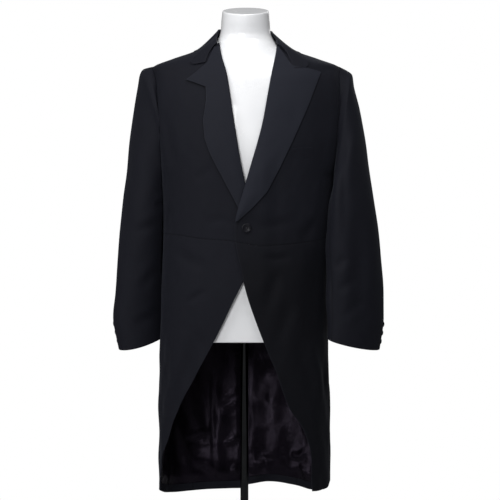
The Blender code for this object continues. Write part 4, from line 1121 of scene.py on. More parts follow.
@dataclass
class Bodice:
    """Foreparts, side bodies and backs, with their armholes."""

    surface: CoatSurface
    wardrobe: Wardrobe
    step: float = 0.0048
    armholes: dict = field(
        default_factory=lambda: {
            Side.LEFT: (1.412, 1.165, -0.045, 0.088),
            Side.RIGHT: (1.412, 1.165, -0.041, 0.085),
        }
    )
    forepart_cut: Cut = Cut(0.330, 0.470, 0.1055, "draped", ("torso_form",))
    sidebody_cut: Cut = Cut(0.200, 0.240, 0.0233, "draped", ("torso_form",))
    back_cut: Cut = Cut(0.260, 1.030, 0.141, "draped", ("torso_form",))

    def armhole(self, side: Side) -> tuple[float, float, float, float]:
        """The armhole's centre and half sizes in a side view, as y, z, half y, half z."""
        top, bottom, front_y, back_y = self.armholes[side]
        return (
            (front_y + back_y) / 2,
            (top + bottom) / 2,
            (back_y - front_y) / 2 + SEAM,
            (top - bottom) / 2 + SEAM,
        )

    def opener(self, side: Side) -> Callable[[bmesh.types.BMesh], None]:
        """What cuts the armhole into a panel, and draws the cut edge onto its outline."""
        y0, z0, half_y, half_z = self.armhole(side)

        def inside(place: Vector) -> float:
            return ((place.y - y0) / half_y) ** 2 + ((place.z - z0) / half_z) ** 2

        def trim(builder: bmesh.types.BMesh) -> None:
            beside = [v for v in builder.verts if side.value * v.co.x > 0.10 and inside(v.co) < 1]
            lost = set(beside)
            gone = [f for f in builder.faces if all(v in lost for v in f.verts)]
            bmesh.ops.delete(builder, geom=gone, context="FACES")
            for vertex in builder.verts:
                share = inside(vertex.co)
                if side.value * vertex.co.x > 0.10 and 0 < share < 1:
                    grow = share**-0.5
                    y, z = y0 + (vertex.co.y - y0) * grow, z0 + (vertex.co.z - z0) * grow
                    vertex.co = (float(self.surface.skin_x(side, np.array(y), np.array(z))), y, z)

        return trim

    def panel(
        self,
        levels: Array,
        start: Callable[[Array], Array],
        end: Callable[[Array], Array],
        guess: tuple[float, float],
        columns: int,
        borders: tuple[Border, Border, Border, Border],
        lapped: bool = False,
    ) -> Cloth:
        """A panel between two edges that run up the coat.

        Args:
            levels: The cloth's levels, low to high.
            start: Degrees round of one edge by height.
            end: The same for the other edge.
            guess: Rough degrees round of both.
            columns: Even steps across.
            borders: What start, end, low and high edge are.
            lapped: Whether it laps over the other front.

        Returns:
            The panel's cloth.
        """
        surface = self.surface
        first = surface.settled(levels, start, guess[0])[:, None]
        last = surface.settled(levels, end, guess[1])[:, None]
        widths = np.abs(np.radians(last - first)) * surface.RADIUS
        near = np.array([0.0, 0.0006, 0.0015, 0.003])[None, :] / np.maximum(widths, 0.012)
        even = np.linspace(0, 1, columns + 1)[None, 1:-1]
        middle = near[:, -1:] + (1 - 2 * near[:, -1:]) * even
        shares = np.concatenate([near, middle, 1 - near[:, ::-1]], 1)
        angle = first + (last - first) * shares
        z = surface.height(levels[:, None] + np.zeros_like(angle), angle)
        normal = surface.normal(angle, z)
        points = surface.place(angle, z)
        out = surface.relief(angle, z)
        if lapped:
            out = out + surface.lapped(points[..., 0], z)
        return Cloth(points + normal * out[..., None], normal, borders)

    def levels(self, low: float, high: float) -> Array:
        """Levels from one to another, close together at both ends."""
        span = high - low
        return low + span * graded(span, round(span / self.step))

    def build(self) -> None:
        """Makes the six panels."""
        sewn, free = Border.SEWN, Border.FREE
        surface, cloth = self.surface, self.wardrobe.worsted
        for side in Side:
            turn = side.value
            edge, centre = surface.front_edge(side), surface.centre_back(side)
            side_seam = surface.seam(side, surface.side_seam)
            back_seam = surface.seam(side, surface.back_seam)
            trim = self.opener(side)
            forepart = self.panel(
                self.levels(WAIST_LEVEL, NECKLINE), edge, side_seam, (5 * turn, 86 * turn),
                56, (free, sewn, sewn, Border.HIDDEN), lapped=side is Side.LEFT,
            )
            outline = LEFT_LAPEL if side is Side.LEFT else RIGHT_LAPEL
            # off_lapel places the painted shadow beside the lapel's outer edge
            forepart.off_lapel = 1 + off_line(
                forepart.points[..., 0], forepart.points[..., 2], outline, side
            )
            cloth_piece(
                f"forepart_{side.word}_cloth", forepart, self.wardrobe.fronts[side],
                CLOTH, trim,
            )
            sidebody = self.panel(
                self.levels(WAIST_LEVEL, 1.265), side_seam, back_seam, (86 * turn, 140 * turn),
                36, (sewn, sewn, sewn, Border.HIDDEN),
            )
            cloth_piece(
                f"sidebody_{side.word}_cloth", sidebody, cloth, CLOTH,
                trim,
            )
            back = self.panel(
                self.levels(HEM_LEVEL, NECKLINE), back_seam, centre, (150 * turn, 179 * turn),
                44, (sewn, sewn, free, Border.HIDDEN),
            )
            cloth_piece(
                f"back_{side.word}_cloth", back, cloth, CLOTH, trim
            )


@dataclass
class Skirts:
    """The skirts below the waist seam, and the satin lining inside them and the tails."""

    bodice: Bodice
    skirt_cut: Cut = Cut(0.340, 0.600, 0.190, "hung", ())
    lining_cut: Cut = Cut(0.420, 0.420, 0.162, "hung", ())
    lining_top: float = 0.875
    lining_in: float = 0.0030

    def build(self) -> None:
        """Makes both skirts and both linings."""
        surface, wardrobe = self.bodice.surface, self.bodice.wardrobe
        sewn, free = Border.SEWN, Border.FREE
        for side in Side:
            turn = side.value
            edge = surface.front_edge(side)
            back_seam = surface.seam(side, surface.back_seam)
            skirt = self.bodice.panel(
                self.bodice.levels(HEM_LEVEL, WAIST_LEVEL), edge, back_seam,
                (40 * turn, 150 * turn), 76, (free, sewn, free, sewn), lapped=side is Side.LEFT,
            )
            cloth_piece(
                f"skirt_{side.word}_cloth", skirt, wardrobe.fronts[side], CLOTH,
            )
            cloth_piece(
                f"tail_lining_{side.word}_cloth", self.lining(side), wardrobe.satin,
                0.001,
            )

    def crumple(self, side: Side, angle: Array, z: Array, inset: Array) -> Array:
        """How far the satin stands in from the cloth: always inwards, more where it is loose."""
        radius = self.bodice.surface.RADIUS
        x = np.radians(angle) * radius
        soft = Ripples(seed=21 + side.value, shortest=0.05, longest=0.13, upright=0.80)
        sharp = Ripples(seed=31 + side.value, shortest=0.018, longest=0.05, upright=0.2)
        low = 0.25 + 0.75 * eased((0.62 - z) / 0.14)
        folds = 0.0016 * soft.height(x, z) + 0.0005 * low * sharp.height(x, z)
        for crease in LEFT_LINING_CREASES if side is Side.LEFT else RIGHT_LINING_CREASES:
            folds = folds + crease.height(angle, z, radius)
        return (0.0042 + np.clip(folds, -0.0036, 0.014)) * inset

    def lining(self, side: Side) -> Cloth:
        """The lining of one side, from the front edge to the vent."""
        surface, turn = self.bodice.surface, side.value
        levels = self.bodice.levels(0.472, self.lining_top)
        edge, centre = surface.front_edge(side), surface.centre_back(side)
        first = surface.settled(levels, edge, 40 * turn)[:, None] + 2.4 * turn
        last = surface.settled(levels, centre, 179 * turn)[:, None] - 0.7 * turn
        shares = graded(0.40, 100)[None, :]
        angle = first + (last - first) * shares
        z = surface.height(levels[:, None] + np.zeros_like(angle), angle)
        normal = surface.normal(angle, z)
        rows = eased((levels - levels[0]) / 0.020) * eased((levels[-1] - levels) / 0.020)
        inset = rows[:, None] * eased(shares / 0.035) * eased((1 - shares) / 0.02)
        inwards = CLOTH + self.lining_in - 0.0024 + self.crumple(side, angle, z, inset)
        points = surface.place(angle, z) + normal * (surface.relief(angle, z) - inwards)[..., None]
        borders = (Border.SEWN, Border.SEWN, Border.SEWN, Border.HIDDEN)
        return Cloth(points, normal, borders, seam_dip=0.0)


@dataclass
class Sleeves:
    """Top sleeves and under sleeves, set into the armholes."""

    RADIUS = 0.06

    bodice: Bodice
    clear: float = 0.0004
    hind_seam: float = -36.0
    front_seam: float = 144.0
    rows: int = 150
    draw_in: dict = field(default_factory=lambda: {Side.LEFT: 0.008, Side.RIGHT: 0.006})
    lean: dict = field(default_factory=lambda: {Side.LEFT: 0.0065, Side.RIGHT: 0.021})
    top_cut: Cut = Cut(0.230, 0.680, 0.112, "hung", ())
    under_cut: Cut = Cut(0.200, 0.560, 0.0903, "hung", ())

    def rings(self, side: Side, turn: Array, walk: Array) -> Array:
        """Points on the sleeve's plain outer surface.

        Args:
            side: Which sleeve.
            turn: Degrees round the sleeve.
            walk: Places along it, as numbers of its rings from the armhole to the cuff.

        Returns:
            The points.
        """
        surface = self.bodice.surface
        y0, z0, half_y, half_z = self.bodice.armhole(side)
        around = np.radians(turn[0])
        y = y0 - (half_y - SEAM) * np.sin(around)
        z = z0 + (half_z - SEAM) * np.cos(around)
        knots = []
        for out, grown, raised in ((-0.0008, 0.0, 0.0), (0.0017, 0.0018, 0.0045)):
            wide = 1 + grown / half_y
            tall = 1 + (grown + raised * np.cos(around).clip(0) ** 2) / half_z
            yy, zz = y0 + (y - y0) * wide, z0 + (z - z0) * tall
            knots.append(np.stack([surface.skin_x(side, yy, zz) + side.value * out, yy, zz], -1))
        for row in LEFT_SLEEVE if side is Side.LEFT else RIGHT_SLEEVE:
            outer = np.array([side.value * row[0], row[1], row[2]])
            drawn_in = self.draw_in[side] * float(eased((row[5] - 0.90) / 0.12))
            inner = np.array([side.value * (row[3] - drawn_in), row[4], row[5]])
            ahead = np.array([0, -row[6], -row[7]])
            middle, reach = (outer + inner) / 2, (outer - inner) / 2
            front = np.sin(around).clip(0)[:, None]
            lean = np.array([self.lean[side] * side.value, 0, 0])
            knots.append(
                middle + reach * np.cos(around)[:, None] + ahead * np.sin(around)[:, None]
                - lean * front
            )
        stack = np.stack(knots)
        steps = np.arange(len(stack))[:, None]
        table = SmoothTable(np.concatenate([steps, stack.reshape(len(stack), -1)], 1))
        points = table.at(walk[:, 0]).reshape(len(walk), -1, 3)
        self.keep_clear(side, points, walk > 1.2)
        return points

    def keep_clear(self, side: Side, points: Array, held: Array) -> None:
        """Moves a sleeve's held rows out to where they clear the body's cloth."""
        skin = self.bodice.surface.skin_x(side, points[..., 1], points[..., 2])
        least = side.value * skin + self.clear
        reach = side.value * points[..., 0]
        points[..., 0] = side.value * np.where(held, np.maximum(reach, least), reach)

    def strip(self, side: Side, low_turn: float, high_turn: float) -> Cloth:
        """Half a sleeve between two seams."""
        last = (len(LEFT_SLEEVE) + 1) * 1.0
        walk = np.concatenate([[0, 0.5, 1.0], np.linspace(1.0, last, self.rows)[1:]])
        walk = np.concatenate([walk[:-1], last - np.array([0.04, 0.02, 0.008, 0.0])])[:, None]
        turn = low_turn + (high_turn - low_turn) * graded(0.19, 48)[None, :]
        points = self.rings(side, turn, walk)
        round_it = np.gradient(points, axis=1)
        down_it = np.gradient(points, axis=0)
        normal = unit(np.cross(round_it, down_it)) * side.value
        flat = normal[3] * [0, 1, 1]
        normal[:3] = unit(flat)[None]
        z = points[..., 2]
        bend = Ripples(seed=50 + side.value, shortest=0.05, longest=0.15, upright=0.45)
        around = np.radians(turn) * self.RADIUS + np.zeros_like(z)
        free = eased((walk - 2.5) / 2.0)
        out = 0.0009 * free * bend.height(around, z)
        for crease in LEFT_SLEEVE_CREASES if side is Side.LEFT else RIGHT_SLEEVE_CREASES:
            out = out + crease.height(turn + np.zeros_like(z), z, self.RADIUS) * free
        points = points + normal * out[..., None]
        self.keep_clear(side, points, walk > 2)
        borders = (Border.SEWN, Border.SEWN, Border.SEWN, Border.FREE)
        return Cloth(points, normal, borders, seam_dip=0.0003)

    def build(self) -> None:
        """Makes both sleeves."""
        for side in Side:
            parts = (
                ("topsleeve", self.hind_seam, self.front_seam, self.top_cut),
                ("undersleeve", self.front_seam, self.hind_seam + 360, self.under_cut),
            )
            for word, low, high, cut in parts:
                cloth_piece(
                    f"{word}_{side.word}_cloth", self.strip(side, low, high),
                    self.bodice.wardrobe.worsted, 0.0014,
                )


@dataclass
class Lapels:
    """Peak lapels, turned back from a soft roll."""

    bodice: Bodice
    roll: float = 0.0030
    step: float = 0.0030
    cut: Cut = Cut(0.105, 0.420, 0.025, "folded", ())

    def build(self) -> None:
        """Makes both lapels."""
        surface = self.bodice.surface
        left, right = surface.edges[Side.LEFT], surface.edges[Side.RIGHT]

        def right_roll(z: Array) -> Array:
            hidden, own = left.one(z) + 0.005, right.one(z) - 0.0004
            return np.where(z < 1.15, np.minimum(own, hidden), own)

        rolls = {Side.LEFT: lambda z: left.one(z) + 0.0004, Side.RIGHT: right_roll}
        outlines = {Side.LEFT: LEFT_LAPEL, Side.RIGHT: RIGHT_LAPEL}
        for side in Side:
            cloth_piece(
                f"lapel_{side.word}_cloth", self.lapel(side, outlines[side], rolls[side]),
                self.bodice.wardrobe.facings[side], 0.0017,
            )

    def lapel(self, side: Side, outline: Places, roll_at: Callable[[Array], Array]) -> Cloth:
        """One lapel.

        Args:
            side: Which lapel.
            outline: x of its outer edge by height.
            roll_at: x of its roll line by height.

        Returns:
            The lapel's cloth.
        """
        surface = self.bodice.surface
        corners = np.array(outline)
        rows = [corners[0, 0]]
        for low, high in zip(corners, corners[1:]):
            count = max(2, round(np.hypot(*(high - low)) / self.step))
            rows += list(np.linspace(low[0], high[0], count + 1)[1:])
        z = np.array(rows)[:, None]
        start, end = roll_at(z), np.interp(z, corners[:, 0], corners[:, 1])
        width = np.abs(end - start)
        turns = np.linspace(0, pi / 2, 6)[:-1]
        bend = np.minimum(self.roll, width * 0.3)
        curl = bend * (1 - np.cos(turns))[None, :]
        ends = np.array([0.003, 0.0015, 0.0006, 0.0])[None, :]
        flat_start, flat_end = bend, width - np.minimum(ends[:, :1], width * 0.1)
        flat = flat_start + (flat_end - flat_start) * np.linspace(0, 1, 34)[None, :]
        tail = width - np.minimum(ends[:, 1:], width * 0.05 * np.array([[0.6, 0.3, 0.0]]) / 0.6)
        inwards = np.concatenate([curl, flat, tail], 1)
        x = start + side.value * inwards
        zz = z + np.zeros_like(x)
        share = np.clip((inwards - bend) / np.maximum(width - bend, 1e-6), 0, 1)
        low_part = eased((1.30 - z) / 0.20)
        top_part = eased((z - 1.385) / 0.03)
        bulge = (0.0020 + 0.0034 * low_part) * np.minimum(1.0, width / 0.05) * (1 - top_part)
        swell = bulge * (4 * share * (1 - share) ** 2)
        out = CLOTH + 0.0022 - 0.0008 * top_part + swell
        rolled = 1 - np.minimum(inwards / np.maximum(bend, 1e-6), 1)
        curled = np.sqrt(np.clip(1 - rolled**2, 0, 1))
        out = 0.0006 + (out - 0.0006) * curled
        angle = surface.angle_of(x, zz)
        normal = surface.normal(angle, zz)
        lift = surface.lapped(x, zz) if side is Side.LEFT else 0.0
        out = out + lift + surface.relief(angle, zz)
        points = surface.place(angle, zz) + normal * out[..., None]
        borders = (Border.HIDDEN, Border.FREE, Border.HIDDEN, Border.HIDDEN)
        return Cloth(points, normal, borders)


@dataclass
class Collar:
    """Stand and leaf in one, folded over round the neck."""

    bodice: Bodice
    steps: int = 14
    over: float = 0.0046
    control_over: float = 0.0090
    cut: Cut = Cut(0.100, 0.440, 0.0415, "folded", ())

    def build(self) -> None:
        """Makes the collar."""
        surface = self.bodice.surface
        table = SmoothTable([(k, *row) for k, row in enumerate(COLLAR)])
        at = np.linspace(0, len(COLLAR) - 1, (len(COLLAR) - 1) * self.steps + 1)
        station = table.at(at)
        fold, angle, leaf_z = station[:, :3], station[:, 3], station[:, 4]

        def on_coat(turn: Array, z: Array, out: float) -> Array:
            return surface.place(turn, z) + surface.normal(turn, z) * out

        behind = eased((np.minimum(at, at[-1] - at) - 1.2) / 1.2)[:, None]
        leaf = on_coat(angle, leaf_z, self.over) * (1 - behind)
        leaf = leaf + on_coat(angle, leaf_z, 0.0021) * behind
        fold_angle = np.degrees(np.arctan2(fold[:, 0] - 0.003, 0.022 - fold[:, 1])) % 360
        fold_angle = np.where(angle - fold_angle < 180, fold_angle, fold_angle + 360)
        middle_z = NECKLINE - 0.004 + (leaf_z - NECKLINE + 0.004) * 0.40
        middle_z = middle_z - 0.004 * behind[:, 0]
        near = on_coat((angle + fold_angle) / 2, middle_z, self.control_over)
        control = near * (1 - behind) + on_coat((angle + fold_angle) / 2, middle_z, -0.003) * behind
        away = (leaf - fold) * [1, 1, 0]
        away = unit(away)
        foot = on_coat(fold_angle, np.full_like(fold_angle, NECKLINE), -0.0002)
        foot[:, 2] = NECKLINE + 0.0012
        depth = eased((fold[:, 2:] - NECKLINE) / 0.015)
        down = np.array([0, 0, -1.0])
        foot = (fold + down * 0.006) * (1 - depth) + foot * depth
        inside, start = fold - away * 0.0012 + down * 0.0030, fold + away * 0.0034 + down * 0.0030
        line = [foot + (inside - foot) * share for share in (0.0, 0.25, 0.5, 0.75, 1.0)]
        crown = fold + away * 0.0010 + down * 0.0002
        over_fold = crown * 2 - (inside + start) / 2
        line += [bent(inside, over_fold, start, turn) for turn in (0.2, 0.4, 0.6, 0.8)]
        down_leaf = [0.0, *(np.arange(1, 17) / 17), 0.975, 0.99, 1.0]
        line += [bent(start, control, leaf, share) for share in down_leaf]
        points = np.stack(line)
        round_it, up_it = np.gradient(points, axis=1), np.gradient(points, axis=0)
        normal = unit(np.cross(round_it, up_it)) * -1
        ends = eased(np.minimum(at, at[-1] - at) / 0.8)
        wave = Ripples(seed=71, shortest=0.03, longest=0.09, upright=1.0)
        reach = np.linspace(0, 1, len(line))[:, None] ** 2
        out = 0.0005 * wave.height(at[None, :] * 0.03, 0 * reach) * reach * ends[None, :]
        points = points + normal * out[..., None]
        borders = (Border.FREE, Border.FREE, Border.HIDDEN, Border.FREE)
        cloth = Cloth(points, normal, borders, edge_dip=0.0009)
        cloth_piece(
            "collar_cloth", cloth, self.bodice.wardrobe.worsted, 0.0013
        )


@dataclass
class BreastWelt:
    """The welt of the breast pocket, on the left forepart."""

    bodice: Bodice
    start_x: float = 0.105
    end_x: float = 0.152
    top: float = 1.2285
    depth: float = 0.022
    slant: float = 0.004
    cut: Cut = Cut(0.052, 0.023, 0.00119, "laid", ("forepart_left_cloth",))

    def build(self) -> None:
        """Makes the welt, which stands off only at its top edge."""
        surface = self.bodice.surface
        across, up = graded(0.049, 22)[None, :], graded(self.depth, 12)[:, None]
        x = self.start_x + (self.end_x - self.start_x) * across + 0 * up
        z = self.top - self.depth * (1 - up) + self.slant * (across - 0.5)
        angle = surface.angle_of(x, z)
        normal = surface.normal(angle, z)
        out = 0.0002 + 0.0017 * up**1.5 + 0 * across
        points = surface.place(angle, z) + normal * (surface.relief(angle, z) + out)[..., None]
        borders = (Border.HIDDEN, Border.HIDDEN, Border.HIDDEN, Border.FREE)
        cloth_piece(
            "breast_welt_cloth", Cloth(points, normal, borders, edge_dip=0.0),
            self.bodice.wardrobe.worsted, 0.0010,
        )


def lathed(name: str, profile: Places, steps: int) -> bpy.types.Mesh:
    """A mesh turned round the upright axis from (radius, height)."""
    builder = bmesh.new()
    verts = [builder.verts.new((r, 0, z)) for r, z in profile]
    edges = [builder.edges.new(pair) for pair in zip(verts, verts[1:])]
    bmesh.ops.spin(
        builder, geom=verts + edges, cent=(0, 0, 0), axis=(0, 0, 1), angle=2 * pi,
        steps=steps, use_merge=True,
    )
    bmesh.ops.remove_doubles(builder, verts=builder.verts, dist=1e-6)
    bmesh.ops.recalc_face_normals(builder, faces=builder.faces)
    mesh = bpy.data.meshes.new(name)
    builder.to_mesh(mesh)
    builder.free()
    return mesh


@dataclass
class Buttons:
    """Four-hole sew-through buttons: one in front, three on each cuff, two behind the waist."""

    wardrobe: Wardrobe
    front_radius: float = 0.0105
    cuff_radius: float = 0.0075
    waist_radius: float = 0.0100

    def disc(self, radius: float) -> bpy.types.Mesh:
        """A button lying flat, back at zero height, with its four holes cut through."""
        tall = radius * 0.34
        profile = (
            (0.0, tall * 0.62), (radius * 0.50, tall * 0.60), (radius * 0.62, tall * 0.68),
            (radius * 0.74, tall * 0.96), (radius * 0.82, tall), (radius * 0.91, tall * 0.93),
            (radius * 0.98, tall * 0.68), (radius, tall * 0.45), (radius * 0.97, tall * 0.18),
            (radius * 0.88, 0.0), (0.0, 0.0),
        )
        disc = lathed("button_disc", profile, 48)
        drill = bmesh.new()
        for x, y in ((1, 1), (1, -1), (-1, 1), (-1, -1)):
            spot = Matrix.Translation((x * radius * 0.17, y * radius * 0.17, 0))
            bmesh.ops.create_cone(
                drill, cap_ends=True, segments=12, radius1=radius * 0.085, radius2=radius * 0.085,
                depth=radius * 2, matrix=spot,
            )
        holes = bpy.data.meshes.new("button_holes")
        drill.to_mesh(holes)
        drill.free()
        body, tool = linked("button_body", disc), linked("button_drill", holes)
        cut = body.modifiers.new("holes", "BOOLEAN")
        cut.operation, cut.solver, cut.object = "DIFFERENCE", "EXACT", tool
        bpy.context.view_layer.update()
        graph = bpy.context.evaluated_depsgraph_get()
        mesh = bpy.data.meshes.new_from_object(body.evaluated_get(graph))
        bpy.data.objects.remove(body)
        bpy.data.objects.remove(tool)
        return mesh

    def thread(self, radius: float) -> bpy.types.Mesh:
        """Two crossed bars of thread that dip into the four holes."""
        builder = bmesh.new()
        tall, reach = radius * 0.34, radius * 0.24
        raised = Matrix.Translation((0, 0, tall * 0.72))
        for quarter in (1, 3):
            turn = Matrix.Rotation(quarter * pi / 4, 4, "Z")
            bmesh.ops.create_cone(
                builder, cap_ends=True, segments=10, radius1=radius * 0.055,
                radius2=radius * 0.055, depth=reach * 2,
                matrix=turn @ raised @ Matrix.Rotation(pi / 2, 4, "Y"),
            )
        bmesh.ops.subdivide_edges(
            builder, edges=[e for e in builder.edges if e.calc_length() > reach], cuts=5
        )
        for vertex in builder.verts:
            away = (vertex.co.x**2 + vertex.co.y**2) / reach**2
            vertex.co.z -= tall * 0.45 * away**2
        mesh = bpy.data.meshes.new("button_thread")
        builder.to_mesh(mesh)
        builder.free()
        return mesh

    def place(self, node: str, carrier: str, radius: float) -> None:
        """Sews a button on where its CAD node sits.

        Args:
            node: The CAD node that it stands for.
            carrier: The piece of cloth that carries it.
            radius: The button's radius.
        """
        low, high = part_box(node)
        centre = (Vector(low) + Vector(high)) / 2
        tree = BVHTree.FromObject(bpy.data.objects[carrier], bpy.context.evaluated_depsgraph_get())
        _, normal, _, _ = tree.find_nearest(centre)
        if normal.dot(centre - Vector((0, 0.02, centre.z))) < 0:
            normal = -normal
        across = normal.orthogonal().normalized()
        along = normal.cross(across)
        rises = []
        for step in range(12):
            turn = 2 * pi * step / 12
            start = centre + (across * cos(turn) + along * sin(turn)) * radius * 0.9 + normal * 0.02
            hit, _, _, _ = tree.ray_cast(start, -normal, 0.04)
            if hit is not None:
                rises.append((hit - centre).dot(normal))
        seat = centre + normal * (max(rises) + 0.0002 if rises else -radius * 0.17)
        upright = Vector((0, 0, 1)) - normal * normal.z
        sideways = upright.cross(normal).normalized()
        frame_of = Matrix((sideways, normal.cross(sideways), normal)).transposed().to_4x4()
        placed = Matrix.Translation(seat) @ frame_of
        for word, mesh, finish in (
            ("", self.disc(radius), self.wardrobe.horn),
            ("_thread", self.thread(radius), self.wardrobe.thread),
        ):
            mesh.transform(placed)
            mesh.materials.clear()
            mesh.materials.append(finish)
            mesh.shade_smooth()
            mesh.set_sharp_from_angle(angle=radians(45))
            obj = linked(f"{node}{word}_piece", mesh)
            joined_to_frame(obj, [] if word else [node])

    def build(self) -> None:
        """Sews on all nine buttons."""
        bpy.context.view_layer.update()
        self.place("front_button", "forepart_left_cloth", self.front_radius)
        for side in Side:
            for number in (1, 2, 3):
                self.place(
                    f"cuff_button_{side.word}_{number}", f"topsleeve_{side.word}_cloth",
                    self.cuff_radius,
                )
            self.place(f"waist_button_{side.word}", f"back_{side.word}_cloth", self.waist_radius)


@dataclass
class TorsoForm:
    """The smooth white form, with a tilted neck cap and a flat foot with a bore for the pole."""

    surface: CoatSurface
    wardrobe: Wardrobe
    sides: int = 120
    neck_tilt: float = 0.0147
    bore_radius: float = 0.0093
    bore_depth: float = 0.0903

    def build(self) -> None:
        """Makes the form."""
        room = SmoothTable(FORM_ROOM)
        turn = np.linspace(0, 360, self.sides + 1)[None, :]
        rings = []
        around, bore = np.radians(turn[0]), self.bore_radius
        for z in (FORM_BOTTOM + self.bore_depth, FORM_BOTTOM):
            rings.append(
                np.stack([bore * np.sin(around), -bore * np.cos(around), 0 * around + z], -1)
            )
        for inset, rise in ((0.004, 0.0), (0.0012, 0.0004), (0.0002, 0.0016)):
            rings.append(self.body_ring(turn, FORM_BOTTOM, room, inset, rise))
        for z in np.linspace(FORM_BOTTOM + 0.004, NECKLINE, 120):
            rings.append(self.body_ring(turn, z, room, 0.0, 0.0))
        neck = SmoothTable(NECK)
        heights = np.linspace(1.475, 1.5415, 26)
        rounded = [(1.5425, 0.0005), (1.543, 0.0016), (1.543, 0.006)]
        for z, inset in [*((z, 0.0) for z in heights), *rounded]:
            half, front, back, centre = neck.at(np.array(z))
            middle, depth = (back - front) / 2, (front + back) / 2 - inset
            x = centre + (half - inset) * np.sin(around)
            y = middle - depth * np.cos(around)
            tilt = self.neck_tilt * eased((z - 1.476) / 0.067) * (y - middle) / back
            rings.append(np.stack([x, y, z + tilt], -1))
        mesh, _, _ = grid_mesh("torso_form_shell", np.stack(rings))
        builder = bmesh.new()
        builder.from_mesh(mesh)
        bmesh.ops.remove_doubles(builder, verts=builder.verts, dist=1e-5)
        bmesh.ops.holes_fill(builder, edges=[e for e in builder.edges if e.is_boundary], sides=0)
        bmesh.ops.recalc_face_normals(builder, faces=builder.faces)
        builder.to_mesh(mesh)
        builder.free()
        mesh.shade_smooth()
        mesh.set_sharp_from_angle(angle=radians(50))
        mesh.materials.append(self.wardrobe.shell)
        joined_to_frame(linked("torso_form_shell", mesh), ["torso_form"])

    def body_ring(
        self, turn: Array, z: float, room: SmoothTable, inset: float, rise: float
    ) -> Array:
        """A ring of the form inside the coat."""
        heights = np.full(turn.shape, z)
        normal = self.surface.normal(turn, heights)
        gap = CLOTH + room.one(heights) + inset
        ring = (self.surface.place(turn, heights) - normal * gap[..., None])[0]
        ring[:, 2] = z + rise if z <= FORM_BOTTOM + 0.004 else ring[:, 2]
        return ring


@dataclass
class Stand:
    """The polished steel pole and its round base."""

    wardrobe: Wardrobe
    pole_radius: float = 0.009
    pole_top: float = 0.887
    bore_floor: float = 0.008
    boss_top: float = 0.045
    plate_height: float = 0.0176
    plate_fall: float = 0.0076

    def turned(self, name: str, profile: Places, sides: int, node: str) -> None:
        """A piece turned round the pole's axis from (radius, height), standing for a node."""
        mesh = lathed(name, profile, sides)
        mesh.shade_smooth()
        mesh.set_sharp_from_angle(angle=radians(35))
        mesh.materials.append(self.wardrobe.steel)
        joined_to_frame(linked(name, mesh), [node])

    def build(self) -> None:
        """Makes the pole and the base."""
        radius, top, foot = self.pole_radius, self.pole_top, self.bore_floor + SEAM
        pole = (
            (0.0, top), (radius - 0.0008, top), (radius, top - 0.0008),
            (radius, foot + 0.0008), (radius - 0.0008, foot), (0.0, foot),
        )
        self.turned("stand_pole_tube", pole, 64, "stand_pole")
        bore = radius + SEAM
        boss = [
            (0.0, self.bore_floor), (bore, self.bore_floor), (bore, 0.0445),
            (bore + 0.0005, self.boss_top), (0.020, self.boss_top), (0.0214, 0.0444),
            (0.022, 0.043), (0.0222, 0.030), (0.0235, 0.0225), (0.026, 0.0190),
            (0.030, self.plate_height),
        ]
        plate = [
            (r, self.plate_height - self.plate_fall * ((r - 0.030) / 0.139) ** 1.1)
            for r in np.linspace(0.045, 0.165, 9)
        ]
        rim = [
            (0.1695, 0.0098), (0.1728, 0.0087), (0.1744, 0.0070), (0.175, 0.0050),
            (0.175, 0.0010), (0.1742, 0.0), (0.0, 0.0),
        ]
        self.turned("stand_base_plate", boss + plate + rim, 128, "stand_base")


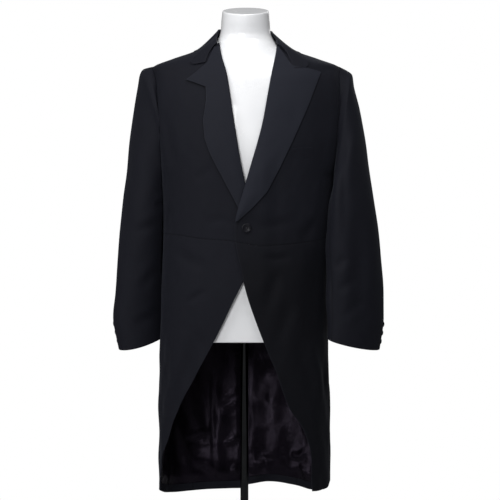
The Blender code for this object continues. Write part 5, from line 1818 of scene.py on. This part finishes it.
@dataclass
class Studio:
    """Camera at the photo's viewing angle, a pale floor and soft studio light."""

    wardrobe: Wardrobe
    camera_place: tuple[float, float, float] = (0.01266, -5.0, 1.0024)
    lens: float = 159.29
    sensor_width: float = 36.0
    sky: float = 0.13
    floor_radius: float = 3.3
    floor_gap: float = 0.0002

    def area(self, name: str, place: Sequence[float], size: float, power: float) -> None:
        """A square soft light that faces the coat's chest."""
        light = bpy.data.lights.new(name, "AREA")
        light.shape, light.size, light.energy = "SQUARE", size, power
        obj = bpy.data.objects.new(name, light)
        bpy.context.scene.collection.objects.link(obj)
        obj.location = place
        aim = Vector(LAMPS_AIM) - Vector(place)
        obj.rotation_euler = aim.to_track_quat("-Z", "Y").to_euler()

    def build(self) -> None:
        """Makes the camera, the lights, the sky and the floor."""
        camera = bpy.data.cameras.new("front_camera")
        camera.lens, camera.sensor_width = self.lens, self.sensor_width
        camera.clip_end = 60.0
        eye = bpy.data.objects.new("front_camera", camera)
        eye.location, eye.rotation_euler = self.camera_place, (pi / 2, 0.0, 0.0)
        bpy.context.scene.collection.objects.link(eye)
        bpy.context.scene.camera = eye
        for lamp in LAMPS:
            self.area(*lamp)
        world = bpy.data.worlds.new("studio")
        bpy.context.scene.world = world
        world.use_nodes = True
        book = NodeTree(world.node_tree)
        plain = world.node_tree.nodes["Background"]
        plain.inputs["Strength"].default_value = self.sky
        white = book.add("Background", {"Color": (1, 1, 1, 1), "Strength": 1.0})
        plain.inputs["Color"].default_value = (1.0, 1.0, 1.0, 1.0)
        seen = book.add("LightPath").outputs["Is Camera Ray"]
        mix = book.add("MixShader", {0: seen, 1: plain.outputs[0], 2: white.outputs[0]})
        book.tree.links.new(mix.outputs[0], world.node_tree.nodes["World Output"].inputs[0])
        builder = bmesh.new()
        bmesh.ops.create_circle(builder, cap_ends=True, segments=96, radius=self.floor_radius)
        mesh = bpy.data.meshes.new("studio_floor")
        builder.to_mesh(mesh)
        builder.free()
        mesh.transform(Matrix.Translation((0, 0, -self.floor_gap)))
        mesh.materials.append(self.wardrobe.floor)
        linked("studio_floor", mesh)
        bpy.context.scene.view_settings.view_transform = "Standard"


def main() -> None:
    """Builds every sub-assembly in order."""
    logging.basicConfig(level=logging.INFO, format="%(name)s: %(message)s")
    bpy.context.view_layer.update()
    wardrobe = Wardrobe()
    surface = CoatSurface()
    Studio(wardrobe).build()
    bodice = Bodice(surface, wardrobe)
    assemblies = (
        ("bodice", bodice),
        ("skirts and lining", Skirts(bodice)),
        ("sleeves", Sleeves(bodice)),
        ("lapels", Lapels(bodice)),
        ("collar", Collar(bodice)),
        ("breast welt", BreastWelt(bodice)),
        ("buttons", Buttons(wardrobe)),
        ("torso form", TorsoForm(surface, wardrobe)),
        ("stand", Stand(wardrobe)),
    )
    for name, assembly in assemblies:
        assembly.build()
        logger.info("built the %s", name)
    bpy.context.view_layer.update()


if __name__ == "__main__":
    main()
